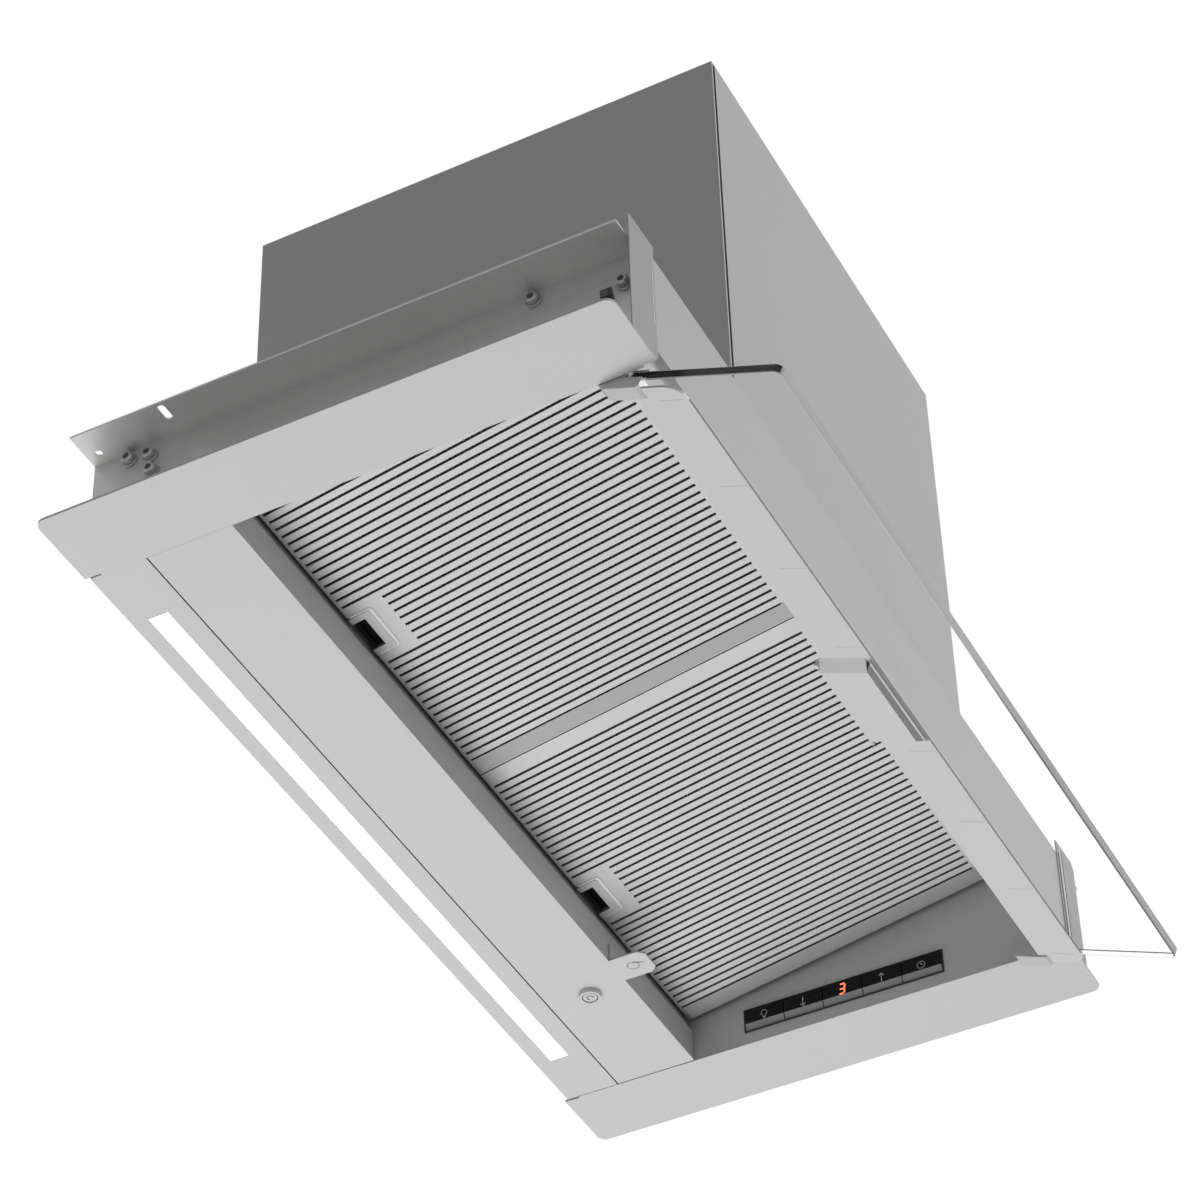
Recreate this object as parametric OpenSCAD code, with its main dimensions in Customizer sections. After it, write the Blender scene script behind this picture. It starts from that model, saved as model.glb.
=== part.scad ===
// Built-in range hood with a folding glass visor, drawn at real size in millimetres.
// +X runs along the hood, -Y is the visor side, +Z is up.
// Heights inside the modules count from the underside of the trim plates; in_frame() then
// moves the origin to the middle between the mounting slots, on top of the rails' flanges.

/* [Overall] */
// Length over the two trim plates
hood_w = 598; // [560:1:640]
// Depth of the trim plates
hood_d = 311; // [300:1:330]
// Height of the casing deck above the underside
casing_h = 71.7; // [70:0.1:85]
// Top of the motor housing above the underside
housing_top_z = 345.2; // [330:0.1:400]

/* [Sheet metal] */
// Thickness of the casing, housing and panel sheet
sheet = 1.2; // [0.8:0.1:1.4]
// Thickness of the trim plates
trim_t = 1.5; // [1.5:0.1:2]
// Width of each trim plate along the hood
trim_w = 45.3; // [42:0.1:48]
// Corner radius of the trim plates
trim_r = 5; // [2:0.5:8]

/* [Casing] */
// Casing's outer face beyond the recess wall's outer face
casing_out = 9.2; // [8.8:0.1:10]
// Front face of the casing
casing_y0 = -150; // [-152:0.5:-148]
// Rear face of the casing
casing_y1 = 147.8; // [147:0.1:150]
// Lower edge of the front wall and panel, above the level visor
front_low = 9.5; // [9:0.5:14]
// Front face of the front panel
front_y = -154.9; // [-156:0.1:-153]
// Height of the front panel left of the motor housing
front_h_left = 71.7; // [68:0.1:74]
// Height of the front panel right of the motor housing
front_h_right = 65.8; // [62:0.1:70]
// Air intake opening in the deck, along the hood
intake_x = [-128, 150];
// Air intake opening in the deck, front to back
intake_y = [-112, 72];

/* [Mounting rails] */
// Height of the flange underside
rail_z = 63.6; // [60:0.1:66]
// Width of the flange outside the web's outer face
flange_w = 23; // [20:0.1:26]
// Distance of a slot's middle from the web's outer face
slot_out = 16.1; // [15:0.1:16.5]
// Place of the slots front to back
slot_y = 97; // [60:1:110]
// Width of a mounting slot
slot_w = 4.2; // [4:0.1:5]
// Length of a mounting slot, end to end
slot_l = 10.6; // [8:0.1:11]
// Distance of a round hole from the web's outer face
hole_out = 7.3; // [6:0.1:8]
// Place of the round holes front to back
hole_y = 140.8; // [125:0.1:142]
// Diameter of the round holes
hole_d = 4; // [3:0.1:5]

/* [Motor housing] */
// Left and right faces of the motor housing
housing_x = [-133.5, 155.8];
// Front and rear faces of the motor housing
housing_y = [-141.4, 140.3];
// Outer diameter of the duct collar
collar_d = 150; // [120:1:160]
// Height of the duct collar
collar_h = 30; // [28:1:60]

/* [Filters] */
// Slope of the filters, rising to the front
filter_tilt = 10.2; // [9:0.1:10.5]
// Rear lower edge of the filters, front to back
filter_y = 73.6; // [73:0.1:74]
// Height of the rear lower edge of the filters
filter_z = 27.45; // [26:0.05:27.5]
// Distance from the casing's front face to the filters' front edge
shelf_w = 34.6; // [30:0.1:40]
// Half of the joint between the two filters
filter_gap = 0.4; // [0.3:0.1:1]
// Thickness of a filter cassette
filter_t = 7; // [6:0.5:7]
// Distance from slot to slot
slot_pitch = 5.93; // [5.5:0.01:5.93]
// Width of a filter slot
slot_gap = 1.8; // [1:0.1:2.5]
// Distance from the joint of the filters to the first slot
slot_x0 = 12.65; // [12:0.05:13]

/* [Light panel and tray] */
// Seam between the tray panel and the light panel
seam_y = 121.1; // [110:0.1:123]
// Rear edge of the light panel
light_y1 = 153.3; // [152:0.1:155]
// Distance from the recess wall to the light window
led_margin = 39; // [20:0.5:90]
// Width of the light window
led_w = 11; // [8:0.5:12]
// Middle of the light window, front to back
led_y = 138.6; // [138:0.1:140]
// Front face of the tray panel's lip
lip_y = 72.6; // [72.6:0.1:72.9]
// Top of the tray panel's lip
lip_z = 20.5; // [16:0.5:20.5]
// Place of the quarter-turn lock
lock_xy = [168, 95.6];
// Diameter of the quarter-turn lock
lock_d = 13; // [10:0.5:16]
// Middle of the pull tab along the hood
tab_x = 155.6; // [120:0.1:180]

/* [Controls] */
// Number of keys
key_n = 5; // [3:1:5]
// Distance from key to key
key_pitch = 24.1; // [22:0.1:25]
// Height of a key
key_h = 13.6; // [12:0.1:15]
// Lower edge of the keys
key_z = 8.9; // [5:0.1:10]
// Middle of the row of keys, front to back
key_y = -20.75; // [-26:0.05:-18]
// Height of the bevel along a key's lower edge
key_bevel = 4.2; // [2:0.1:5]
// Press of a key
key_travel = 1; // [0.5:0.1:1.2]

/* [Visor] */
// Hinge axis of the visor, front to back
hinge_y = -137; // [-138:0.1:-136]
// Hinge axis of the visor, height
hinge_z = 5; // [4.5:0.1:6]
// Distance of the glass's middle plane below the hinge axis
glass_drop = 2.93; // [2.8:0.01:3.2]
// Slope of the open visor below the horizontal
visor_tilt = 22.2; // [20:0.1:24]
// Gap between the recess wall and the visor glass
glass_gap = 2.5; // [2:0.1:5]
// Distance from the hinge axis to the outer edge of the glass
glass_w = 85.5; // [70:0.5:95]
// Thickness of the visor glass
glass_t = 5; // [4:0.5:5]
// Inner and outer edge of the visor's carrier strip
strip_t = [7.5, 34.2];
// Depth of the carrier strip
strip_h = 5.3; // [4:0.1:6]
// Length of the grip
grip_l = 60; // [40:1:100]
// Height of the grip below the strip
grip_h = 4.9; // [3:0.1:8]

/* [Blower] */
// Diameter of the fan wheel
wheel_d = 150; // [120:1:160]
// Width of the fan wheel
wheel_w = 84; // [60:1:90]
// Number of fan blades
blade_n = 32; // [20:1:40]
// Height of the fan shaft above the underside
shaft_z = 190; // [185:1:200]
// Diameter of the motor
motor_d = 76; // [60:1:80]
// Control box along the hood, front to back and upright
box_size = [68, 42, 100];
// Light driver along the hood, front to back and upright
driver_size = [88, 34, 24];

/* [Hidden] */
$fn = 48;
eps = 0.01;
rail_top = rail_z + sheet;
recess_x = hood_w / 2 - trim_w;
recess_in = recess_x - sheet;
casing_x = recess_x + casing_out;
web_x = casing_x + sheet;
filter_l = (filter_y - casing_y0 - shelf_w) / cos(filter_tilt);
led_l = 2 * (recess_in - led_margin);
glass_l = 2 * (recess_in - glass_gap);
bracket_x = [casing_x - 11.4, web_x + 13.4];
deck_z = casing_h - sheet;
seat = 0.3;
seam = 0.8;
skin_z = trim_t - sheet;
plenum_y = filter_y + 1.9;
shelf_z = 63.7;
shelf_edge = 4.5;
pivot_y = casing_y0 + shelf_w + 0.9;
pivot_z = filter_z + filter_l * sin(filter_tilt) + 3.05;
filter_w = recess_in - filter_gap - 1.9;
slot_n = 1 + round((filter_w + filter_gap - 2 * slot_x0) / slot_pitch);
cassette_wall = 1;
mesh_t = 1.5;
latch_w = 30;
latch_l = 12;
latch_clear = 22;
latch_in = latch_w / 2 - 4.2;
latch_open = 7.6;
latch_travel = 3.5;
face_x = recess_in - sheet;
key_w = key_pitch - 0.5;
key_depth = 3.4;
ear_x = [recess_in - 9, recess_in - 0.3];
strip_top = -glass_t / 2;
strip_low = strip_top - strip_h;
pin_r = 2;
visor_pin_r = 1.5;
pin_fit = 0.05;
glass_t0 = 3.2;
ear_nose = 13.2;
bolt_r = 2;
bolt_head_r = 4.25;
bolt_head_h = 5;
clip_y = -137;
bolt_places = [[126.6, 58.1], [114.6, 55.7], [113, 44.5], [-98.6, 58.3], [-146, 46]];
house_cx = (housing_x[0] + housing_x[1]) / 2;
house_cy = (housing_y[0] + housing_y[1]) / 2;
shaft_y = house_cy + 35;
shaft_r = 4;
scroll_w = wheel_w + 16;
scroll_wall = 1.5;
scroll_r0 = wheel_d / 2 + 8;
scroll_grow = 30;
scroll_turn = 290;
tongue_a = 110;
collar_y = shaft_y - (scroll_r0 + scroll_grow - scroll_r0 * cos(tongue_a)) / 2;
collar_wall = 1.5;
collar_z = housing_top_z;
flap_z = collar_z + 8;
flap_r = collar_d / 2 - collar_wall - 1;
flap_t = 1.2;

// Moves a piece from underside heights to the part's own origin
module in_frame() {
    translate([0, -slot_y, -rail_top])
    children();
}

// A box given by its two corners
module slab(a, b) {
    translate(a)
    cube([b[0] - a[0], b[1] - a[1], b[2] - a[2]]);
}

// A round-cornered plate between two corners
module round_plate(a, b, r) {
    translate([0, 0, a[2]])
    linear_extrude(b[2] - a[2])
    translate([a[0] + r, a[1] + r])
    union() {
        for (x = [0, b[0] - a[0] - 2 * r], y = [0, b[1] - a[1] - 2 * r])
            translate([x, y])
            circle(r);
        translate([-r, 0])
        square([b[0] - a[0], b[1] - a[1] - 2 * r]);
        translate([0, -r])
        square([b[0] - a[0] - 2 * r, b[1] - a[1]]);
    }
}

// The same piece at both ends of the hood
module both_ends() {
    children();
    mirror([1, 0, 0])
    children();
}

// Trim plates

// Outer corners are rounded, inner corners are square
module trim_plate() {
    y1 = hood_d / 2;
    round_plate([recess_x, -y1, 0], [hood_w / 2, y1, trim_t], trim_r);
    slab([recess_x, -y1, 0], [recess_x + trim_r, y1, trim_t]);
}

module trim_left() {
    color("silver")
    in_frame()
    mirror([1, 0, 0])
    trim_plate();
}

module trim_right() {
    color("silver")
    in_frame()
    trim_plate();
}

// Casing

module casing_deck() {
    color("gray")
    in_frame()
    difference() {
        slab([-casing_x, casing_y0, deck_z], [casing_x, casing_y1, casing_h]);
        slab([intake_x[0], intake_y[0], deck_z - 1], [intake_x[1], intake_y[1], casing_h + 1]);
    }
}

module casing_front_wall() {
    color("gray")
    in_frame()
    slab([-casing_x + sheet, casing_y0, front_low], [casing_x - sheet, casing_y0 + sheet, deck_z]);
}

module casing_rear_wall() {
    color("gray")
    in_frame()
    slab([-casing_x + sheet, casing_y1 - sheet, trim_t], [casing_x - sheet, casing_y1, deck_z]);
}

module bolt_holes(x0, x1) {
    for (p = bolt_places)
        translate([x0, p[0], p[1]])
        rotate([0, 90, 0])
        cylinder(h = x1 - x0, r = bolt_r + 0.1);
}

module casing_end() {
    difference() {
        slab([casing_x - sheet, casing_y0, trim_t], [casing_x, casing_y1, deck_z]);
        bolt_holes(casing_x - sheet - 1, casing_x + 1);
    }
}

module casing_left_wall() {
    color("gray")
    in_frame()
    mirror([1, 0, 0])
    casing_end();
}

module casing_right_wall() {
    color("gray")
    in_frame()
    casing_end();
}

module recess_wall() {
    difference() {
        slab([recess_in, casing_y0 + sheet, 0], [recess_x, casing_y1 - sheet, deck_z]);
        translate([recess_in - 1, hinge_y, hinge_z])
        rotate([0, 90, 0])
        cylinder(h = sheet + 2, r = visor_pin_r + pin_fit);
    }
}

module recess_wall_left() {
    color("darkgray")
    in_frame()
    mirror([1, 0, 0])
    recess_wall();
}

module recess_wall_right() {
    color("darkgray")
    in_frame()
    difference() {
        recess_wall();
        slab([recess_in - 1, key_y - key_n * key_pitch / 2, key_z - 0.2],
             [recess_x + 1, key_y + key_n * key_pitch / 2, key_z + key_h + 0.2]);
    }
}

module plenum_wall() {
    color("darkgray")
    in_frame()
    slab([-recess_in, plenum_y, lip_z + 4], [recess_in, plenum_y + sheet, deck_z]);
}

module filter_shelf() {
    color("darkgray")
    in_frame()
    union() {
        slab([-recess_in, casing_y0 + sheet, shelf_z - sheet], [recess_in, pivot_y - shelf_edge, shelf_z]);
        slab([-recess_in, casing_y0 + sheet, shelf_z - 12],
             [recess_in, casing_y0 + 2 * sheet, shelf_z - sheet]);
    }
}

// Mounting rails and their bolts

module mounting_rail() {
    y0 = front_y + sheet + 0.2;
    difference() {
        union() {
            slab([casing_x, y0, trim_t], [web_x, casing_y1, rail_top]);
            slab([web_x, y0, rail_z], [web_x + flange_w, casing_y1, rail_top]);
        }
        bolt_holes(casing_x - 1, web_x + 1);
        translate([web_x + slot_out, slot_y, rail_z - 1])
        linear_extrude(sheet + 2)
        union() {
            for (e = [-1, 1])
                translate([e * (slot_l - slot_w) / 2, 0])
                circle(slot_w / 2);
            square([slot_l - slot_w, slot_w], center = true);
        }
        translate([web_x + hole_out, hole_y, rail_z - 1])
        cylinder(h = sheet + 2, r = hole_d / 2);
    }
}

module mounting_rail_left() {
    color("gray")
    in_frame()
    mirror([1, 0, 0])
    mounting_rail();
}

module mounting_rail_right() {
    color("gray")
    in_frame()
    mounting_rail();
}

module socket_bolt() {
    rotate([0, 90, 0])
    difference() {
        union() {
            translate([0, 0, -2 * sheet - 1.5])
            cylinder(h = 2 * sheet + 1.5 + eps, r = bolt_r);
            cylinder(h = bolt_head_h - 0.5, r = bolt_head_r);
            translate([0, 0, bolt_head_h - 0.5])
            cylinder(h = 0.5, r1 = bolt_head_r, r2 = bolt_head_r - 0.5, $fn = 32);
        }
        translate([0, 0, bolt_head_h - 2.8])
        cylinder(h = 4, r = 2.3, $fn = 6);
    }
}

module rail_bolts() {
    color("silver")
    in_frame()
    both_ends()
    for (p = bolt_places)
        translate([web_x, p[0], p[1]])
        socket_bolt();
}

// Front panel, its brackets and the clips beside them

module front_panel() {
    color("silver")
    in_frame()
    union() {
        translate([0, front_y + sheet, 0])
        rotate([90, 0, 0])
        linear_extrude(sheet)
        polygon([[-casing_x, front_low], [casing_x, front_low], [casing_x, front_h_right],
                 [house_cx, front_h_right], [house_cx, front_h_left], [-casing_x, front_h_left]]);
        slab([-casing_x, front_y + sheet, front_low], [casing_x, casing_y0, front_low + sheet]);
    }
}

// Upright plate at one end of the front panel; its top outer corner is cut off
module front_bracket(top, x0, x1, cut) {
    translate([0, front_y, 0])
    rotate([90, 0, 0])
    linear_extrude(sheet - 0.6)
    polygon([[x0, trim_t], [x1, trim_t], [x1, top - cut], [x1 - cut * 0.7, top], [x0, top]]);
}

module front_bracket_left() {
    color("silver")
    in_frame()
    mirror([1, 0, 0])
    front_bracket(front_h_left + 6.2, bracket_x[0], bracket_x[1], 0.5);
}

module front_bracket_right() {
    color("silver")
    in_frame()
    front_bracket(front_h_right + 8, bracket_x[0], bracket_x[1], 4);
}

module side_clip() {
    translate([web_x, clip_y, 35])
    rotate([90, 0, 90])
    linear_extrude(1)
    polygon([[-3, 0], [3, 0], [3.4, 4], [2.2, 12], [-2.2, 12], [-3.4, 4]]);
    translate([web_x + 1, clip_y, 37])
    rotate([90, 0, 0])
    linear_extrude(4, center = true)
    polygon([[0, 0], [3, 1.5], [3.4, 6], [2.6, 6], [2.2, 2.2], [0, 1]]);
}

module side_clips() {
    color("dimgray")
    in_frame()
    both_ends()
    side_clip();
}

// Light panel

module light_panel() {
    x1 = recess_in - 0.1;
    color("silver")
    in_frame()
    difference() {
        union() {
            slab([-x1, seam_y + 0.4, skin_z], [x1, light_y1, trim_t]);
            slab([-recess_in + seat, seam_y + 0.4, trim_t], [recess_in - seat, seam_y + 0.4 + sheet, trim_t + 8]);
            slab([-x1, light_y1 - sheet, trim_t], [x1, light_y1, trim_t + 7]);
        }
        slab([-led_l / 2, led_y - led_w / 2, -1], [led_l / 2, led_y + led_w / 2, trim_t + 1]);
    }
}

module led_diffuser() {
    color("white")
    in_frame()
    union() {
        slab([-led_l / 2 + 0.1, led_y - led_w / 2 + 0.1, skin_z - 0.1],
             [led_l / 2 - 0.1, led_y + led_w / 2 - 0.1, trim_t]);
        slab([-led_l / 2 - 2, led_y - led_w / 2 - 0.8, trim_t],
             [led_l / 2 + 2, led_y + led_w / 2 + 0.8, trim_t + 1.2]);
    }
}

module led_channel() {
    w = led_w / 2 + 2.2;
    l = led_l / 2 + 3;
    color("lightgray")
    in_frame()
    difference() {
        slab([-l, led_y - w, trim_t], [l, led_y + w, trim_t + 10]);
        slab([-l - 1, led_y - w + 1.2, trim_t - 1], [l + 1, led_y + w - 1.2, trim_t + 8.8]);
    }
}

module led_board() {
    z = trim_t + 8.8;
    chips = 24;
    color("white")
    in_frame()
    union() {
        slab([-led_l / 2, led_y - led_w / 2, z - 1.6], [led_l / 2, led_y + led_w / 2, z]);
        for (i = [0:chips - 1])
            translate([(i + 0.5 - chips / 2) * led_l / chips, led_y, z - 2.1])
            cube([3, 3, 1.02], center = true);
    }
}

module led_driver() {
    x0 = -100 - driver_size[0] / 2;
    y0 = (plenum_y + casing_y1 - driver_size[1]) / 2;
    color("whitesmoke")
    in_frame()
    union() {
        slab([x0, y0, deck_z - driver_size[2]], [x0 + driver_size[0], y0 + driver_size[1], deck_z]);
        slab([x0 - 6, y0 + 4, deck_z - 2], [x0, y0 + driver_size[1] - 4, deck_z]);
        slab([x0 + driver_size[0], y0 + 4, deck_z - 2],
             [x0 + driver_size[0] + 6, y0 + driver_size[1] - 4, deck_z]);
    }
}

// Tray panel, its pull tab and its lock

module tray_panel() {
    x1 = recess_in - 0.35;
    color("silver")
    in_frame()
    difference() {
        union() {
            slab([-x1, lip_y, skin_z], [x1, seam_y - 0.4, trim_t]);
            slab([-x1, lip_y, trim_t], [x1, lip_y + sheet, lip_z]);
            slab([-x1, lip_y + sheet, lip_z - sheet], [x1, lip_y + 9, lip_z]);
            slab([-x1, seam_y - 0.4 - sheet, trim_t], [x1, seam_y - 0.4, trim_t + 8]);
        }
        translate([lock_xy[0], lock_xy[1], -1])
        cylinder(h = 4, r = 3 + pin_fit);
    }
}

module pull_tab() {
    w = 10;
    color("silver")
    in_frame()
    union() {
        translate([tab_x, 0, skin_z])
        linear_extrude(1)
        polygon([[-w, lip_y], [w, lip_y], [w, lip_y - 17], [w - 3.5, lip_y - 20.6],
                 [-w + 3.5, lip_y - 20.6], [-w, lip_y - 17]]);
        slab([tab_x - w, lip_y - 1, skin_z + 1], [tab_x + w, lip_y, 12]);
    }
}

module tray_lock() {
    color("silver")
    in_frame()
    translate([lock_xy[0], lock_xy[1], 0])
    union() {
        difference() {
            translate([0, 0, skin_z - 2.6])
            cylinder(h = 2.5, r1 = lock_d / 2 - 0.5, r2 = lock_d / 2);
            translate([0, 0, skin_z - 3])
            cylinder(h = 2, r = lock_d / 2 - 2);
        }
        translate([0, 0, skin_z - 2.2])
        slab([-lock_d / 2 + 1.5, -1.1, 0], [lock_d / 2 - 1.5, 1.1, 2]);
        translate([0, 0, skin_z - 0.2])
        cylinder(h = trim_t + 3.5, r = 3);
        translate([0, 0, trim_t + seat])
        slab([-4, -4, 0], [4, 12, 1.6]);
    }
}

// Filters: cassettes on a slope, with slots along their length

// Local X runs along the hood, local Y from the rear edge to the front, local Z out of the face
module on_filter_plane() {
    translate([0, filter_y, filter_z])
    rotate([-filter_tilt, 0, 0])
    mirror([0, 1, 0])
    children();
}

module filter_slots() {
    mid = filter_gap + filter_w / 2;
    for (i = [0:slot_n - 1]) {
        x = slot_x0 + i * slot_pitch;
        start = abs(x - mid) < latch_clear ? latch_l + 10 : 1.6;
        slab([x - slot_gap / 2, start, -1], [x + slot_gap / 2, filter_l - 6, cassette_wall + 1]);
    }
}

module filter_cassette() {
    mid = filter_gap + filter_w / 2;
    w = cassette_wall;
    difference() {
        slab([filter_gap, 0, 0], [filter_gap + filter_w, filter_l, filter_t]);
        slab([filter_gap + w, w, w], [filter_gap + filter_w - w, filter_l - w, filter_t + 1]);
        slab([mid - latch_in, -1, -1], [mid + latch_in, latch_open, filter_t + 1]);
        filter_slots();
    }
    translate([mid, 0, 0])
    for (s = [-1, 1])
        slab([s * filter_w * 0.35 - 12, filter_l, filter_t - 3.6],
             [s * filter_w * 0.35 + 12, filter_l + 6.4, filter_t - 2.6]);
    latch_guide(mid);
}

// Raised surround that holds the latch slider
module latch_guide(mid) {
    difference() {
        slab([mid - latch_w / 2, 0, -0.8], [mid + latch_w / 2, latch_l, 0]);
        slab([mid - latch_in, -1, -1], [mid + latch_in, latch_open, 1]);
    }
}

module filter_left() {
    color("lightgray")
    in_frame()
    mirror([1, 0, 0])
    on_filter_plane()
    filter_cassette();
}

module filter_right() {
    color("lightgray")
    in_frame()
    on_filter_plane()
    filter_cassette();
}

module mesh_pad() {
    w = cassette_wall;
    slab([filter_gap + w + 0.2, latch_l + 2, w],
         [filter_gap + filter_w - w - 0.2, filter_l - w - 0.2, w + mesh_t]);
}

module filter_mesh_left() {
    color("gainsboro")
    in_frame()
    mirror([1, 0, 0])
    on_filter_plane()
    mesh_pad();
}

module filter_mesh_right() {
    color("gainsboro")
    in_frame()
    on_filter_plane()
    mesh_pad();
}

// Slider: a plate behind the opening with a bar for the fingertip
module latch_slider() {
    mid = filter_gap + filter_w / 2;
    w = latch_in - seat;
    z0 = cassette_wall + mesh_t + seat;
    slab([mid - w, 1.3, z0], [mid + w, latch_open + latch_travel + 2, z0 + 1.5]);
    slab([mid - w, 1.3, 0.1], [mid + w, 3.3, z0]);
}

module latch_left() {
    color("black")
    in_frame()
    mirror([1, 0, 0])
    on_filter_plane()
    latch_slider();
}

module latch_right() {
    color("black")
    in_frame()
    on_filter_plane()
    latch_slider();
}

// Controls on the right recess wall

// Key number i, counted from the rear; a bevel runs along its lower edge
module key_cap(i) {
    y = key_y + (key_n / 2 - i - 0.5) * key_pitch;
    color("black")
    in_frame()
    translate([0, y + key_w / 2, key_z])
    rotate([90, 0, 0])
    linear_extrude(key_w)
    polygon([[face_x + 1.2, 0], [face_x, key_bevel], [face_x, key_h], [face_x + key_depth, key_h],
             [face_x + key_depth, 0]]);
}

module key_light() {
    key_cap(0);
}

module key_slower() {
    key_cap(1);
}

module key_power() {
    key_cap(2);
}

module key_faster() {
    key_cap(3);
}

module key_timer() {
    key_cap(4);
}

module control_bezel() {
    y1 = key_n * key_pitch / 2;
    color("black")
    in_frame()
    difference() {
        slab([recess_in - 0.5, key_y - y1 - 0.9, key_z - 1], [recess_in, key_y + y1 + 0.9, key_z + key_h + 0.9]);
        slab([recess_in - 1, key_y - y1, key_z - 0.2], [recess_in + 1, key_y + y1, key_z + key_h + 0.2]);
    }
}

module control_board() {
    board_x = recess_x + 5;
    back_x = face_x + key_depth;
    y1 = key_n * key_pitch / 2;
    color("darkgreen")
    in_frame()
    union() {
        slab([board_x, key_y - y1 - 8, key_z - 3], [board_x + 1.6, key_y + y1 + 8, key_z + key_h + 3]);
        for (i = [0:key_n - 1])
            slab([back_x + key_travel + seat, key_y + (key_n / 2 - i - 0.5) * key_pitch - 3, key_z + key_h / 2 - 3],
                 [board_x + eps, key_y + (key_n / 2 - i - 0.5) * key_pitch + 3, key_z + key_h / 2 + 3]);
        for (s = [-1, 1])
            translate([recess_x, key_y + s * (y1 + 5), key_z + key_h / 2])
            rotate([0, 90, 0])
            cylinder(h = board_x - recess_x + eps, r = 2.5);
    }
}

// Visor

// Local X along the hood, local Y away from the hinge across the glass, local Z out of the glass
// with zero at the glass's middle plane
module on_visor_plane() {
    translate([0, hinge_y, hinge_z])
    rotate([visor_tilt, 0, 0])
    mirror([0, 1, 0])
    translate([0, 0, -glass_drop])
    children();
}

module visor_glass() {
    color("lightblue", 0.4)
    in_frame()
    on_visor_plane()
    round_plate([-glass_l / 2, glass_t0, -glass_t / 2], [glass_l / 2, glass_w, glass_t / 2], 4);
}

// Outline of the carrier strip's plate; the ears stand in its cut corners
module strip_outline() {
    x0 = ear_x[0] - seat;
    r = 10;
    translate([-x0, strip_t[0]])
    square([2 * x0, 10]);
    translate([-glass_l / 2, ear_nose + seat])
    square([glass_l, strip_t[1] - r - ear_nose - seat]);
    translate([-glass_l / 2 + r, strip_t[1] - r - 5])
    square([glass_l - 2 * r, r + 5]);
    for (s = [-1, 1])
        translate([s * (glass_l / 2 - r), strip_t[1] - r])
        circle(r);
}

// Folded sheet: a plate below, an upright at the hinge side and a lip bonded under the glass
module visor_strip() {
    x0 = ear_x[0] - seat;
    t0 = strip_t[0];
    color("silver")
    in_frame()
    on_visor_plane()
    union() {
        translate([0, 0, strip_low])
        linear_extrude(sheet)
        union()
        strip_outline();
        slab([-x0, t0, strip_low + sheet], [x0, t0 + sheet, strip_top]);
        slab([-x0, t0 + sheet, strip_top - sheet], [x0, t0 + 13, strip_top]);
    }
}

module visor_grip() {
    low = strip_low - grip_h;
    slope = 6;
    wall = 1;
    run = wall * sqrt(slope * slope + grip_h * grip_h) / grip_h;
    above = grip_l / 2 + slope * (1 + 1 / grip_h) - run;
    below = grip_l / 2 + slope * wall / grip_h - run;
    depth = strip_t[1] - strip_t[0];
    color("silver")
    in_frame()
    on_visor_plane()
    translate([0, strip_t[1] - 3.5, 0])
    rotate([90, 0, 0])
    difference() {
        linear_extrude(depth)
        polygon([[-grip_l / 2 - slope, strip_low], [grip_l / 2 + slope, strip_low], [grip_l / 2, low],
                 [-grip_l / 2, low]]);
        translate([0, 0, -1])
        linear_extrude(depth + 1 - wall)
        polygon([[-above, strip_low + 1], [above, strip_low + 1], [below, low + wall],
                 [-below, low + wall]]);
    }
}

// Ear beside the glass: it holds the hinge pin above the glass's inner edge
module visor_ear() {
    tail = 11;
    low = strip_low - 1;
    rise = glass_drop + 3.6;
    near = glass_t0 - seat;
    translate([ear_x[0], 0, 0])
    rotate([90, 0, 90])
    difference() {
        linear_extrude(ear_x[1] - ear_x[0])
        polygon([[ear_nose - 1.5, low], [5 - tail, low], [-tail, low + 4], [-tail, strip_top],
                 [-4.4, glass_drop], [-2, rise], [1.2, rise], [near, rise - 1.5],
                 [near, strip_top], [ear_nose, strip_top], [ear_nose, low + 1.5]]);
        translate([0, glass_drop, -1])
        cylinder(h = ear_x[1] - ear_x[0] + 2, r = visor_pin_r);
    }
}

module visor_ears() {
    color("gray")
    in_frame()
    both_ends()
    on_visor_plane()
    visor_ear();
}

module visor_pins() {
    color("silver")
    in_frame()
    both_ends()
    translate([ear_x[0], hinge_y, hinge_z])
    rotate([0, 90, 0])
    cylinder(h = recess_x + 7 - ear_x[0], r = visor_pin_r);
}

module hinge_blocks() {
    color("dimgray")
    in_frame()
    both_ends()
    difference() {
        slab([recess_x, hinge_y - 8, trim_t], [recess_x + 7.5, hinge_y + 8, hinge_z + 8]);
        translate([recess_x - 1, hinge_y, hinge_z])
        rotate([0, 90, 0])
        cylinder(h = 10, r = visor_pin_r + pin_fit);
    }
}

// Motor housing

module housing_front() {
    color("silver")
    in_frame()
    slab([housing_x[0] + sheet + seam, housing_y[0], casing_h],
         [housing_x[1], housing_y[0] + sheet, housing_top_z - sheet]);
}

module housing_rear() {
    color("silver")
    in_frame()
    slab([housing_x[0], housing_y[1] - sheet, casing_h],
         [housing_x[1], housing_y[1], housing_top_z - sheet]);
}

module housing_end(x0, y0) {
    slab([x0, y0, casing_h], [x0 + sheet, housing_y[1] - sheet, housing_top_z - sheet]);
}

module housing_left() {
    color("dimgray")
    in_frame()
    housing_end(housing_x[0], housing_y[0]);
}

module housing_right() {
    color("dimgray")
    in_frame()
    housing_end(housing_x[1] - sheet, housing_y[0] + sheet);
}

module housing_top() {
    color("silver")
    in_frame()
    difference() {
        slab([housing_x[0], housing_y[0], housing_top_z - sheet], [housing_x[1], housing_y[1], housing_top_z]);
        translate([house_cx, collar_y, housing_top_z - 5])
        cylinder(h = 10, r = collar_d / 2 - collar_wall);
    }
}

// Duct collar with its two back-draught flaps

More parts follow.
